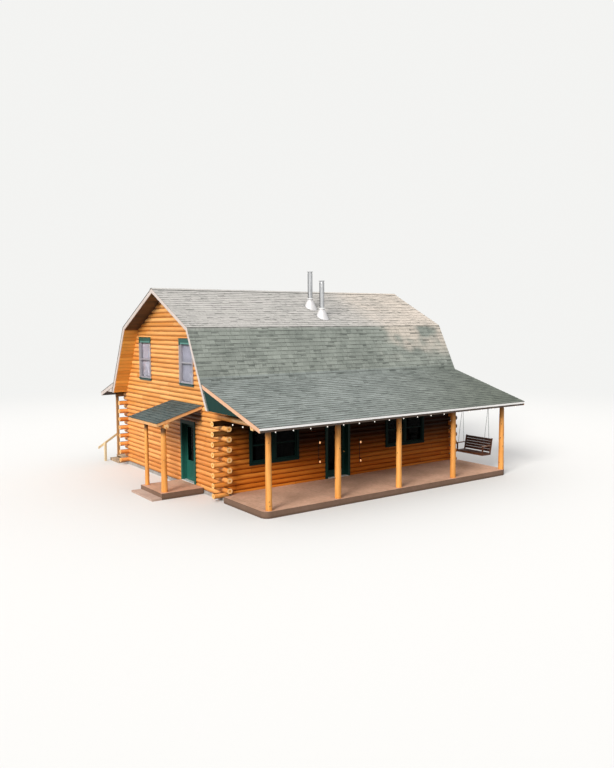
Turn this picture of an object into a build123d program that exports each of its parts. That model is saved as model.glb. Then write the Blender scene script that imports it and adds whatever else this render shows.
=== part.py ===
"""Log cabin with a gambrel roof, a full-width porch, a small side porch and a rear deck.

Frame: origin at ground level under the centre of the log walls, +X along the porch wall,
-Y towards the porch, +Z up. Millimetres.
"""
import os
from math import atan2, cos, hypot, radians, sin, sqrt, tan

from build123d import *

# Log walls
LENGTH = 10970.0  # outside faces of the two gable walls
DEPTH = 8530.0  # outside faces of the front and back walls
LOG_DIAMETER = 200.0
COURSE = 175.0  # height of one course of logs
COURSES = 16  # courses up to the loft floor
SEAM = 0.4  # open joint between two courses
COPE_GAP = 0.5  # play between a log's end and the log it meets
SIDE_PASS = 350.0  # log ends past the gable walls
FRONT_PASS = 250.0  # log ends past the front and back walls

# Slabs and floors
FOUNDATION_TOP = 115.0
FLOOR_TOP = 220.0
LOFT_THICKNESS = 200.0
LOFT_EDGE = 20.0  # loft floor's edge in from the wall face
FLOOR_GAP = 2.0  # play round the floors
SLAB_PAST_POSTS = 165.0  # porch slab's edge past the post line
PORCH_SIDE_REACH = 140.0  # porch slab past each gable wall
SLAB_CORNER = 250.0  # rounded front corners of the porch slab
SLAB_GAP = 5.0  # slabs stand this far off the logs

# Main roof, measured from the front wall's face and the loft floor's top
EAVE_OUT = 75.0
BREAK_IN = 1348.0
BREAK_RISE = 2770.0
RIDGE_RISE = 1457.0
ROOF_THICKNESS = 170.0
SHINGLE_LAYER = 20.0
RAKE_OVERHANG = 580.0
BOARD = 25.0  # thickness of fascia and rake boards
RAKE_DEPTH = 142.0
SHINGLE_LIP = 14.0  # shingles past the rake and fascia boards
MITRE_GAP = 0.3

# Porch, rear porch and side porch roofs: slope, reach and height of the top at the eave
PORCH_SLOPE = 16.6
PORCH_REACH = 3250.0
PORCH_EAVE = 2935.0
PORCH_ROOF_THICKNESS = 150.0
REAR_SLOPE = 18.8
REAR_REACH = 1351.0
REAR_EAVE = 3055.0
SIDE_SLOPE = 16.1
SIDE_REACH = 1756.0
SIDE_EAVE = 2644.0
SIDE_ROOF_THICKNESS = 130.0
SIDE_ROOF_FRONT = 1430.0  # from the front wall's face
SIDE_ROOF_WIDTH = 2500.0
FASCIA_DEPTH = 140.0
SIDE_FASCIA_DEPTH = 105.0

# Posts and headers
POST_SETBACK = 585.0  # post line in from the porch roof's eave
POST_FOOT = 226.0  # diameter of a post's foot
POST_TOP = 186.0
POST_COUNT = 5
FIRST_POST = 110.0  # first post's centre in from the left gable wall's face
LAST_POST = 5.0  # last post's centre in from the right gable wall's face
HEADER_REACH = 470.0  # header's end past the gable wall's face
SIDE_POST_FEET = (222.0, 164.0)  # diameters of the near and the far post
SIDE_POST_TOPS = (190.0, 136.0)
SIDE_HEADER_DIAMETER = 170.0
SIDE_POST_SETBACK = 336.0  # side posts in from the side porch roof's eave
SIDE_POST_INSET = 190.0  # near post in from the side roof's near edge
SIDE_POST_SPAN = 1460.0
SIDE_HEADER_REACH = 260.0
LEDGER = 38.0
LEDGER_HEIGHT = 140.0
SEAT_GAP = 0.3  # between a piece and what carries it

# Side slab and step
SIDE_SLAB_MARGIN = 200.0  # slab's edge past the side posts' line
SIDE_SLAB_ENDS = (210.0, 130.0)  # slab past the near and the far post's centre
STEP_TOP = 70.0
STEP_TREAD = 360.0

# Doorways and windows: start and width along the wall, courses from the foundation
FRONT_DOOR_START = 4370.0
DOORWAY_WIDTH = 1030.0
DOOR_COURSES = 13
SIDE_DOOR_START = 2105.0
TWIN_WINDOW_WIDTH = 1950.0
FRONT_WINDOW_STARTS = (1090.0, 7335.0)
TWIN_SILL_COURSE = 6
LOFT_WINDOW_WIDTH = 1070.0
LOFT_WINDOW_INS = (2120.0, 1640.0)  # outer edges in from the front and back walls' faces
LOFT_SILL_COURSE = 21
LOFT_HEAD_COURSE = 30
BACK_DOOR_START = 4970.0
CASING = 70.0
LOFT_CASING = 25.0
LOFT_SILL = 50.0  # casing under a loft window
CASING_THICKNESS = 25.0
HEAD_CASING = 95.0
JAMB = 35.0
FRAME_GAP = 0.5  # between a frame and the logs
GLASS = 8.0
GLASS_GAP = 0.3
GLASS_INSET = 45.0  # glass behind the wall face
SASH = 45.0

# Doors
DOOR_THICKNESS = 45.0
DOOR_GAP = 8.0
DOOR_STOP = 14.0
DOOR_STOP_DEPTH = 25.0
DOOR_STOP_GAP = 6.0
THRESHOLD_RISE = 12.0
STILE = 125.0
FRONT_GLASS_SILL = 240.0  # front door's glass above the leaf's foot
SIDE_GLASS_SILL = 730.0  # side and back doors' glass above the leaf's foot
DOOR_GLASS_HEAD = 125.0  # rail over the glass
KNOB_HEIGHT = 890.0
KNOB_DIAMETER = 55.0
KNOB_STEM = 22.0
KNOB_REACH = 46.0  # ball's centre off the leaf
ROSE_DIAMETER = 64.0
ROSE_THICKNESS = 8.0
KNOB_BACKSET = 70.0
HINGE_OUT = 10.0  # hinge axis inside the wall face
HINGE_HEIGHT = 96.0
HINGE_PIN = 9.0
HINGE_BARREL = 17.0
HINGE_PLAY = 0.05
HINGE_PLATE = 2.5
HINGE_PLATE_DEPTH = 34.0
HINGE_LEVELS = (180.0, 960.0, 1740.0)

# Flues
FLUE_X = 5730.0
FLUE_YS = (2100.0, 2900.0)
FLUE_DIAMETER = 195.0
FLUE_TOPS = (1435.0, 1440.0)  # pipe's top over the roof at its axis
FLUE_WALL = 4.0
BOOT_BASE = 560.0
BOOT_PLATE = 6.0
BOOT_FOOT = 235.0  # radius of the cone's foot
BOOT_HEIGHT = 300.0
BOOT_COLLAR = 700.0  # bore through the boot, longer than it
CAP_DIAMETER = 250.0
CAP_HEIGHT = 60.0
CAP_OVERLAP = 110.0

# Rear deck and stair
DECK_PAST_POSTS = 100.0
DECK_BOARD = 40.0
BEARER = 90.0
REAR_POST = 100.0
REAR_POST_INSET = 60.0  # end posts' centres in from the gable walls' faces
REAR_POST_SETBACK = 201.0  # rear posts in from the rear roof's eave
REAR_HEADER_HEIGHT = 140.0
REAR_STEP_TREAD = 300.0
REAR_STEP_TOP = 110.0
RAIL_HEIGHT = 1010.0
RAIL_REACH = 830.0
RAIL_DROP = 520.0
RAIL_WIDTH = 90.0
RAIL_THICKNESS = 40.0
RAIL_NOTCH = 22.0  # newel's top into the rail
NEWEL_OUT = 540.0
NEWEL = 90.0

# Porch swing
SWING_OUT = 25.0  # hangers' line outward of the tie log's centre
SWING_SPAN = 1340.0  # between its two hangers
SWING_SHIFT = 37.5  # its middle outward of halfway from the front wall to the posts
SWING_BALANCE = 81.0  # bench's centre in front of the hangers, so that it hangs level
SEAT_TOP = 560.0  # above the porch floor
SEAT_DEPTH = 470.0
SEAT_THICKNESS = 22.0
SEAT_FRAME = 70.0
BACK_TOP = 1120.0
BACK_LEAN = 12.0
SLAT_COUNT = 5
SLAT_GAP = 12.0
BACK_SLAT_LIFT = 36.0  # lowest back slat over the seat
ARM_HEIGHT = 280.0
ARM_WIDTH = 70.0
ARM_THICKNESS = 25.0
SWING_SIDE = 45.0
CHAIN = 10.0
HANGER_PIN = 16.0
HANGER_EYE = 46.0
HANGER_EYE_THICKNESS = 12.0
HANGER_DROP = 60.0
HANGER_PLATE = 6.0
HANGER_WIDTH = 88.0
HANGER_EAR_GAP = 4.0

# String of lights
CORD_DIAMETER = 7.0
CORD_EAVE_IN = 130.0  # cord's line in from the fascia
BULB_SPACING = 655.0
BULB_DIAMETER = 44.0
BULB_DROP = 90.0
SOCKET_DIAMETER = 18.0
CORD_BEND = 40.0
CORD_CLEAR = 14.0  # cord off the logs that it passes
CORD_END_IN = 100.0  # cord's end in from the porch roof's right edge
TIE_CORD_END = 300.0  # from the front wall's face

# Derived levels and faces
LEFT = -LENGTH / 2
RIGHT = LENGTH / 2
FRONT = -DEPTH / 2
BACK = DEPTH / 2
RADIUS = LOG_DIAMETER / 2
FLAT_HALF = sqrt(RADIUS**2 - (COURSE / 2) ** 2)
WALL_TOP = FOUNDATION_TOP + COURSES * COURSE
LOFT_TOP = WALL_TOP + LOFT_THICKNESS
DOOR_HEAD = FOUNDATION_TOP + DOOR_COURSES * COURSE
POST_LINE = PORCH_REACH - POST_SETBACK
SWING_MIDDLE = POST_LINE / 2 + SWING_SHIFT
SIDE_POST_OUT = SIDE_REACH - SIDE_POST_SETBACK
SIDE_SLAB_OUT = SIDE_POST_OUT + SIDE_SLAB_MARGIN
SIDE_NEAR_POST = FRONT + SIDE_ROOF_FRONT + SIDE_POST_INSET
SIDE_FAR_POST = SIDE_NEAR_POST + SIDE_POST_SPAN
REAR_POST_LINE = REAR_REACH - REAR_POST_SETBACK
DECK_DEPTH = REAR_POST_LINE + DECK_PAST_POSTS
LOG_SECTION = Circle(RADIUS) & Rectangle(LOG_DIAMETER, COURSE - SEAM)
ROUND_SECTION = Circle(RADIUS + COPE_GAP)


def level(course):
    """Height of a course's underside."""
    return FOUNDATION_TOP + course * COURSE


def box(x0, x1, y0, y1, z0, z1):
    """Block between two corners."""
    return Pos((x0 + x1) / 2, (y0 + y1) / 2, (z0 + z1) / 2) * Box(x1 - x0, y1 - y0, z1 - z0)


def plane_x(x, y=0.0, z=0.0):
    """Plane facing +X whose own axes are Y and Z."""
    return Plane(origin=(x, y, z), x_dir=(0, 1, 0), z_dir=(1, 0, 0))


def plane_y(y, x=0.0, z=0.0):
    """Plane facing -Y whose own axes are X and Z."""
    return Plane(origin=(x, y, z), x_dir=(1, 0, 0), z_dir=(0, -1, 0))


def prism_x(points, x0, x1):
    """Outline of (y, z) points carried from x0 to x1."""
    return extrude(plane_x(x0) * make_face(Polyline(*points, close=True)), x1 - x0, dir=(1, 0, 0))


def prism_y(points, y0, y1):
    """Outline of (x, z) points carried from y0 to y1."""
    return extrude(plane_y(y0) * make_face(Polyline(*points, close=True)), y1 - y0, dir=(0, 1, 0))


def log_x(x0, x1, y, z, section=LOG_SECTION):
    """Log along X with its centre at (y, z)."""
    return extrude(plane_x(x0, y, z) * section, x1 - x0, dir=(1, 0, 0))


def log_y(y0, y1, x, z, section=LOG_SECTION):
    """Log along Y with its centre at (x, z)."""
    return extrude(plane_y(y0, x, z) * section, y1 - y0, dir=(0, 1, 0))


def rod(start, end, diameter):
    """Round bar between two points."""
    line = Vector(*end) - Vector(*start)
    return Plane(origin=start, z_dir=line) * Cylinder(
        diameter / 2, line.length, align=(Align.CENTER, Align.CENTER, Align.MIN)
    )


def peeled_log(x, y, low, high, foot, top):
    """Upright log that tapers from its foot's diameter to its top's."""
    up = (Align.CENTER, Align.CENTER, Align.MIN)
    return Pos(x, y, low) * Cone(foot / 2, top / 2, high - low, align=up)


def on_wall(wall, start, width, z):
    """Place in a wall for a door or window drawn at the origin and facing -Y.

    It starts a distance along the wall, measured from the left gable on the front and
    back walls and from the front on the gables.
    """
    if wall == "front":
        return Pos(LEFT + start, FRONT, z)
    if wall == "back":
        return Pos(LEFT + start + width, BACK, z) * Rot(0, 0, 180)
    if wall == "left":
        return Pos(LEFT, FRONT + start + width, z) * Rot(0, 0, -90)
    return Pos(RIGHT, FRONT + start, z) * Rot(0, 0, 90)


def mirror_y(solid):
    """The same piece on the other side of the XZ plane."""
    return mirror(solid, about=Plane.XZ)


def mirror_x(solid):
    """The same piece on the other side of the YZ plane."""
    return mirror(solid, about=Plane.YZ)


def roof_line(depth):
    """Gambrel line at a depth under the roof's top: eave, break and ridge as (in, z) points."""
    run = BREAK_IN + EAVE_OUT
    low_length = hypot(run, BREAK_RISE)
    low_cos = run / low_length
    low_sin = BREAK_RISE / low_length
    high_run = DEPTH / 2 - BREAK_IN
    high_length = hypot(high_run, RIDGE_RISE)
    high_cos = high_run / high_length
    high_sin = RIDGE_RISE / high_length
    share = depth / (1 + low_sin * high_sin + low_cos * high_cos)
    eave = (-EAVE_OUT + depth / low_sin, LOFT_TOP)
    bend = (
        BREAK_IN + share * (low_sin + high_sin),
        LOFT_TOP + BREAK_RISE - share * (low_cos + high_cos),
    )
    ridge = (DEPTH / 2, LOFT_TOP + BREAK_RISE + RIDGE_RISE - depth / high_cos)
    return eave, bend, ridge


def roof_height(distance):
    """Height of the main roof's top at a distance in from the wall's face, over the break."""
    slope = RIDGE_RISE / (DEPTH / 2 - BREAK_IN)
    return LOFT_TOP + BREAK_RISE + (distance - BREAK_IN) * slope


def lean_height(distance, depth, slope, reach, eave):
    """Height of a lean-to roof at a depth under its top, at a distance in from the wall."""
    return eave + (distance + reach) * tan(radians(slope)) - depth / cos(radians(slope))


def lean_points(top, bottom, slope, reach, eave):
    """Outline of one layer of a lean-to roof against the main roof's lower slope."""
    steep = BREAK_RISE / (BREAK_IN + EAVE_OUT)
    shallow = tan(radians(slope))
    clear = roof_line(-MITRE_GAP)[0][0]
    points = [(-reach, lean_height(-reach, bottom, slope, reach, eave))]
    points.append((-reach, lean_height(-reach, top, slope, reach, eave)))
    for depth in (top, bottom):
        start = lean_height(0.0, depth, slope, reach, eave)
        meet = (start - LOFT_TOP + steep * clear) / (steep - shallow)
        points.append((meet, start + shallow * meet))
    return points


def from_front(points):
    """Turn (in, z) points into (y, z) points at the front."""
    return [(FRONT + distance, z) for distance, z in points]


def wall_logs(along_x, place, start, end, courses, openings, passing, joins):
    """Logs of a straight wall: passes alternate courses over the walls it joins.

    An opening is (start, end, first course, course over it). A passing log runs beyond the
    wall's ends by what joins says for its course, and the others are coped against the
    joined wall's log.
    """
    make = log_x if along_x else log_y
    cross = log_y if along_x else log_x
    logs = []
    for course in courses:
        z = level(course) + COURSE / 2
        passes = course % 2 == passing
        lengths = joins(course)
        low = start - lengths[0] if passes else start + RADIUS
        high = end + lengths[1] if passes else end - RADIUS
        stretches = [(low, high)]
        for cut_start, cut_end, first, last in openings:
            if first <= course < last:
                stretches = [
                    piece
                    for a, b in stretches
                    for piece in ((a, min(b, cut_start)), (max(a, cut_end), b))
                    if piece[1] - piece[0] > RADIUS
                ]
        for a, b in stretches:
            log = make(a, b, place, z)
            if not passes and a == low:
                log -= cross(place - RADIUS * 2, place + RADIUS * 2, start + RADIUS, z, ROUND_SECTION)
            if not passes and b == high:
                log -= cross(place - RADIUS * 2, place + RADIUS * 2, end - RADIUS, z, ROUND_SECTION)
            logs.append(log)
    return logs


def side_pass(course):
    """How far a front or back wall's passing log reaches past the gable walls."""
    return SIDE_PASS, SIDE_PASS


def front_back_wall(side, courses, openings):
    """Logs of the front (-1) or back (1) wall. Even courses pass the gable walls."""
    place = side * (BACK - RADIUS)
    return wall_logs(True, place, LEFT, RIGHT, courses, openings, 0, side_pass)


def gable_reach(course):
    """How far a gable wall's passing log reaches past the front and back walls."""
    if course == COURSES - 1:
        return POST_LINE - RADIUS - SEAT_GAP, FRONT_PASS
    return FRONT_PASS, FRONT_PASS


def gable_wall(side, courses, openings):
    """Logs of the left (-1) or right (1) gable wall. Odd courses pass the long walls."""
    place = side * (RIGHT - RADIUS)
    return wall_logs(False, place, FRONT, BACK, courses, openings, 1, gable_reach)


def under_porch(logs):
    """Trim the tie logs that reach the header to the porch roof's underside."""
    depth = PORCH_ROOF_THICKNESS + COPE_GAP
    far = POST_LINE + RADIUS
    outline = [
        (FRONT, lean_height(0, depth, PORCH_SLOPE, PORCH_REACH, PORCH_EAVE)),
        (FRONT - far, lean_height(-far, depth, PORCH_SLOPE, PORCH_REACH, PORCH_EAVE)),
        (FRONT - far, lean_height(0, 0, PORCH_SLOPE, PORCH_REACH, PORCH_EAVE)),
        (FRONT, lean_height(0, 0, PORCH_SLOPE, PORCH_REACH, PORCH_EAVE)),
    ]
    cutter = prism_x(outline, LEFT - RADIUS, RIGHT + RADIUS)
    return [log - cutter for log in logs]


def loft_window_starts():
    """Where the two loft windows of a gable start, from the front wall's face."""
    return LOFT_WINDOW_INS[0], DEPTH - LOFT_WINDOW_INS[1] - LOFT_WINDOW_WIDTH


def gable_top(side):
    """Logs of a gable over the loft floor's foot, trimmed to the roof's underside."""
    place = side * (RIGHT - RADIUS)
    eave, bend, ridge = roof_line(ROOF_THICKNESS + COPE_GAP)
    slope = BREAK_RISE / (BREAK_IN + EAVE_OUT)
    foot = level(COURSES) - COURSE
    half = [(eave[0] - (eave[1] - foot) / slope, foot), bend, ridge]
    outline = [(FRONT + u, z) for u, z in half]
    outline += [(BACK - u, z) for u, z in reversed(half[:-1])]
    frame = prism_x(outline, place - RADIUS, place + RADIUS)
    stub = log_y(FRONT - FRONT_PASS, BACK + FRONT_PASS, place, level(COURSES) + COURSE / 2)
    over_floor = box(place - RADIUS * 2, place + RADIUS * 2, FRONT, BACK, LOFT_TOP, LOFT_TOP + COURSE)
    logs = [stub - over_floor]
    course = COURSES + 1
    while level(course) < ridge[1]:
        z = level(course) + COURSE / 2
        stretches = [(FRONT, BACK)]
        if LOFT_SILL_COURSE <= course < LOFT_HEAD_COURSE:
            first, second = (FRONT + start for start in loft_window_starts())
            stretches = [
                (FRONT, first),
                (first + LOFT_WINDOW_WIDTH, second),
                (second + LOFT_WINDOW_WIDTH, BACK),
            ]
        logs += [log_y(a, b, place, z) & frame for a, b in stretches]
        course += 1
    return logs


def roof_layer(top, bottom, x0, x1):
    """Four slopes of the main roof between two depths: front low, front high, back high, back low."""
    outer = roof_line(top)
    inner = roof_line(bottom)
    low = prism_x(from_front([outer[0], outer[1], inner[1], inner[0]]), x0, x1)
    high = prism_x(from_front([outer[1], outer[2], inner[2], inner[1]]), x0, x1)
    return [low, high, mirror_y(high), mirror_y(low)]


def rake_boards():
    """Boards on the main roof's sloping ends, four on each gable, with open mitres."""
    outer = roof_line(SHINGLE_LAYER + SEAT_GAP)
    inner = roof_line(SHINGLE_LAYER + SEAT_GAP + RAKE_DEPTH)
    x1 = RIGHT + RAKE_OVERHANG
    x0 = x1 - BOARD
    low = prism_x(from_front([outer[0], outer[1], inner[1], inner[0]]), x0, x1)
    high = prism_x(from_front([outer[1], outer[2], inner[2], inner[1]]), x0, x1)
    bend = outer[1]
    saw = box(x0 - BOARD, x1 + BOARD, -MITRE_GAP, MITRE_GAP, LOFT_TOP, outer[2][1])
    angle = atan2(inner[1][1] - bend[1], inner[1][0] - bend[0])
    cut = Plane(origin=(0, FRONT + bend[0], bend[1]), x_dir=(0, cos(angle), sin(angle)), z_dir=(1, 0, 0))
    blade = extrude(cut * Rectangle(RAKE_DEPTH * 3, MITRE_GAP * 2), x1 + BOARD)
    low -= blade
    high = high - blade - saw
    boards = [low, high, mirror_y(low), mirror_y(high)]
    return boards + [mirror_x(board) for board in boards]


def lean_rakes(slope, reach, eave, mirrored=False):
    """Rake boards on both ends of a lean-to roof."""
    top = SHINGLE_LAYER + SEAT_GAP
    drop = BOARD * tan(radians(slope))
    points = lean_points(top, top + FASCIA_DEPTH, slope, reach + BOARD, eave - drop)
    board = prism_x(from_front(points), RIGHT + RAKE_OVERHANG - BOARD, RIGHT + RAKE_OVERHANG)
    if mirrored:
        board = mirror_y(board)
    return [board, mirror_x(board)]


def lean_fascia(slope, reach, eave, mirrored=False):
    """Board along a lean-to roof's eave."""
    top = lean_height(-reach - BOARD, SHINGLE_LAYER + SEAT_GAP, slope, reach, eave)
    inset = BOARD + SEAT_GAP
    board = box(
        LEFT - RAKE_OVERHANG + inset,
        RIGHT + RAKE_OVERHANG - inset,
        FRONT - reach - BOARD,
        FRONT - reach - SEAT_GAP,
        top - FASCIA_DEPTH,
        top,
    )
    return mirror_y(board) if mirrored else board


def lean_deck(slope, reach, eave, thickness):
    """Structural layer of a lean-to roof between its rake boards."""
    inset = BOARD + SEAT_GAP
    points = from_front(lean_points(SHINGLE_LAYER, thickness, slope, reach, eave))
    return prism_x(points, LEFT - RAKE_OVERHANG + inset, RIGHT + RAKE_OVERHANG - inset)


def lean_shingles(slope, reach, eave):
    """Shingle layer of a lean-to roof, past its rake and fascia boards."""
    out = reach + BOARD + SHINGLE_LIP
    drop = (BOARD + SHINGLE_LIP) * tan(radians(slope))
    points = from_front(lean_points(0, SHINGLE_LAYER - SEAT_GAP, slope, out, eave - drop))
    return prism_x(points, LEFT - RAKE_OVERHANG - SHINGLE_LIP, RIGHT + RAKE_OVERHANG + SHINGLE_LIP)


def end_panels(slope, reach, eave, thickness, mirrored=False):
    """Boards that close a lean-to roof's ends over the loft floor's level."""
    under = lean_points(0, thickness + SEAT_GAP, slope, reach, eave)[3]
    start = lean_height(0, thickness + SEAT_GAP, slope, reach, eave)
    tip = (LOFT_TOP - start) / tan(radians(slope))
    foot = roof_line(-SEAT_GAP)[0][0]
    x1 = RIGHT + RAKE_OVERHANG - BOARD - SEAT_GAP
    panel = prism_x(from_front([(foot, LOFT_TOP), under, (tip, LOFT_TOP)]), x1 - BOARD, x1)
    if mirrored:
        panel = mirror_y(panel)
    return [panel, mirror_x(panel)]


def window_frame(width, height, side, foot):
    """Window frame drawn at the origin and facing -Y.

    Jambs and sash stand in the wall, casing lies on its face, and a rebate holds the glass.
    """
    a = FRAME_GAP
    b = width - FRAME_GAP
    low = FRAME_GAP
    high = height - FRAME_GAP
    edge = JAMB + SASH
    rebate = JAMB + SASH / 2
    glass = GLASS_INSET - SEAT_GAP
    before = -CASING_THICKNESS * 2
    behind = LOG_DIAMETER + CASING_THICKNESS
    ring = box(a, b, -SEAT_GAP, LOG_DIAMETER, low, high)
    ring += box(a - side, b + side, -SEAT_GAP - CASING_THICKNESS, -SEAT_GAP, low - foot, high + HEAD_CASING)
    ring -= box(a + edge, b - edge, before, behind, low + edge, high - edge)
    ring -= box(a + JAMB, b - JAMB, before, glass - BOARD, low + JAMB, high - JAMB)
    ring -= box(a + JAMB, b - JAMB, glass + GLASS + BOARD, behind, low + JAMB, high - JAMB)
    ring -= box(a + rebate, b - rebate, glass, glass + GLASS + GLASS_GAP * 2, low + rebate, high - rebate)
    return ring


def window_pane(width, height):
    """Sheet of glass in a window frame's rebate, drawn with the frame."""
    edge = FRAME_GAP + JAMB + SASH / 2 + GLASS_GAP
    glass = GLASS_INSET - SEAT_GAP + GLASS_GAP
    return box(edge, width - edge, glass, glass + GLASS, edge, height - edge)


def windows():
    """Every window as (wall, start along it, width, foot, head)."""
    rows = []
    sill = level(TWIN_SILL_COURSE)
    for start in FRONT_WINDOW_STARTS:
        for wall in ("front", "back"):
            rows.append((wall, start, TWIN_WINDOW_WIDTH, sill, DOOR_HEAD))
    rows.append(("right", (DEPTH - TWIN_WINDOW_WIDTH) / 2, TWIN_WINDOW_WIDTH, sill, DOOR_HEAD))
    sill = level(LOFT_SILL_COURSE)
    for start in loft_window_starts():
        for wall in ("left", "right"):
            rows.append((wall, start, LOFT_WINDOW_WIDTH, sill, level(LOFT_HEAD_COURSE)))
    return rows


class Door:
    """Inward opening door in a wall: frame, leaf, glass, knobs and hinges.

    It is drawn for a wall that faces -Y with its outer face at y = 0, the doorway's left
    edge at x = 0 and z = 0 at the foundation's top, hinged at the left, then placed.
    """

    def __init__(self, wall, start, glass_sill):
        self.location = on_wall(wall, start, DOORWAY_WIDTH, FOUNDATION_TOP)
        self.glass_sill = glass_sill
        self.floor = FLOOR_TOP - FOUNDATION_TOP
        self.head = DOOR_COURSES * COURSE - FRAME_GAP
        self.left = FRAME_GAP + JAMB
        self.right = DOORWAY_WIDTH - FRAME_GAP - JAMB
        self.leaf_left = self.left + DOOR_GAP
        self.leaf_right = self.right - DOOR_GAP
        self.leaf_foot = self.floor + THRESHOLD_RISE + DOOR_GAP
        self.leaf_head = self.head - JAMB - DOOR_GAP
        self.inner = LOG_DIAMETER
        self.outer = LOG_DIAMETER - DOOR_THICKNESS
        self.axis = (self.leaf_left - DOOR_GAP / 2, LOG_DIAMETER + HINGE_OUT)

    def place(self, solid):
        """Move a piece of the door into its wall."""
        return self.location * solid

    def frame(self):
        """Jambs, head, stops, threshold and outside casing in one piece."""
        width = DOORWAY_WIDTH
        foot = self.floor + SEAT_GAP
        top = self.head + HEAD_CASING
        ring = box(FRAME_GAP, width - FRAME_GAP, -SEAT_GAP, self.inner, SEAT_GAP, self.head)
        ring += box(-CASING, width + CASING, -CASING_THICKNESS, -SEAT_GAP, foot, top)
        ring -= box(
            self.left + DOOR_STOP,
            self.right - DOOR_STOP,
            -CASING_THICKNESS * 2,
            self.inner * 2,
            self.floor + THRESHOLD_RISE,
            self.head - JAMB - DOOR_STOP,
        )
        ring -= box(
            self.left,
            self.right,
            self.outer - DOOR_STOP_GAP,
            self.inner * 2,
            self.floor + THRESHOLD_RISE,
            self.head - JAMB,
        )
        ring -= box(
            self.left,
            self.right,
            -CASING_THICKNESS * 2,
            self.outer - DOOR_STOP_GAP - DOOR_STOP_DEPTH,
            self.floor + THRESHOLD_RISE,
            self.head - JAMB,
        )
        return self.place(ring)

    def glass_box(self, extra):
        """Extent of the leaf's glass, larger all round by extra."""
        return (
            self.leaf_left + STILE - extra,
            self.leaf_right - STILE + extra,
            self.leaf_foot + self.glass_sill - extra,
            self.leaf_head - DOOR_GLASS_HEAD + extra,
        )

    def leaf(self):
        """Door leaf with its light cut out, a rebate for the glass and knob spindle hole."""
        panel = box(self.leaf_left, self.leaf_right, self.outer, self.inner, self.leaf_foot, self.leaf_head)
        x0, x1, z0, z1 = self.glass_box(0)
        panel -= box(x0, x1, self.outer - BOARD, self.inner + BOARD, z0, z1)
        x0, x1, z0, z1 = self.glass_box(GLASS + GLASS_GAP)
        middle = (self.outer + self.inner) / 2
        half = GLASS / 2 + GLASS_GAP
        panel -= box(x0, x1, middle - half, middle + half, z0, z1)
        return self.place(panel)

    def glass(self):
        """Glass in the leaf's rebate."""
        x0, x1, z0, z1 = self.glass_box(GLASS)
        middle = (self.outer + self.inner) / 2
        return self.place(box(x0, x1, middle - GLASS / 2, middle + GLASS / 2, z0, z1))

    def knob(self, face, side):
        """Round knob on a rose, on one face of the leaf."""
        x = self.leaf_right - KNOB_BACKSET
        z = self.leaf_foot + KNOB_HEIGHT
        start = face + side * SEAT_GAP
        rose = rod((x, start, z), (x, start + side * ROSE_THICKNESS, z), ROSE_DIAMETER)
        stem = rod((x, start, z), (x, face + side * KNOB_REACH, z), KNOB_STEM)
        ball = Pos(x, face + side * KNOB_REACH, z) * Sphere(KNOB_DIAMETER / 2)
        return rose + stem + ball

    def hinge(self, z, moving):
        """One butt hinge's half: the leaf's plate and barrel, or the frame's with its pin."""
        x, y = self.axis
        third = HINGE_HEIGHT / 3
        barrel = Cylinder(HINGE_BARREL / 2, third - SEAT_GAP * 2)
        reach = y - HINGE_BARREL / 2 - HINGE_PLATE
        edge = DOOR_GAP / 2
        x0 = x + edge - HINGE_PLATE if moving else x - edge
        x1 = x0 + HINGE_PLATE
        low = z - HINGE_HEIGHT / 2
        plate = box(x0, x1, reach - HINGE_PLATE_DEPTH, reach, low, low + HINGE_HEIGHT)
        if moving:
            half = Pos(x, y, z) * barrel
            half += box(x0, x1, reach, y, z - third / 2 + SEAT_GAP, z + third / 2 - SEAT_GAP)
            half += plate
            return half - Pos(x, y, z) * Cylinder(HINGE_PIN / 2 + HINGE_PLAY, HINGE_HEIGHT * 2)
        half = plate
        for step in (-1, 1):
            half += Pos(x, y, z + step * third) * barrel
            low = z + step * third - third / 2 + SEAT_GAP
            high = z + step * third + third / 2 - SEAT_GAP
            half += box(x0, x1, reach, y, low, high)
        return half + Pos(x, y, z) * Cylinder(HINGE_PIN / 2, HINGE_HEIGHT)

    def hinge_levels(self):
        """Heights of the hinges' middles."""
        return [self.leaf_foot + height for height in HINGE_LEVELS]

    def fittings(self):
        """Knobs and the hinges' moving halves."""
        pieces = [self.knob(self.outer, -1), self.knob(self.inner, 1)]
        pieces += [self.hinge(z, True) for z in self.hinge_levels()]
        return [self.place(piece) for piece in pieces]

    def hinge_pins(self):
        """The hinges' fixed halves."""
        return [self.place(self.hinge(z, False)) for z in self.hinge_levels()]


FRONT_DOOR = Door("front", FRONT_DOOR_START, FRONT_GLASS_SILL)
SIDE_DOOR = Door("left", SIDE_DOOR_START, SIDE_GLASS_SILL)
BACK_DOOR = Door("back", BACK_DOOR_START, SIDE_GLASS_SILL)

PARTS = {}


def add(name, *solids):
    """Keep solids under a node's name."""
    flat = []
    for item in solids:
        flat += list(item) if isinstance(item, (list, tuple)) else [item]
    PARTS[name] = [piece for item in flat for piece in item.solids()]


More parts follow.
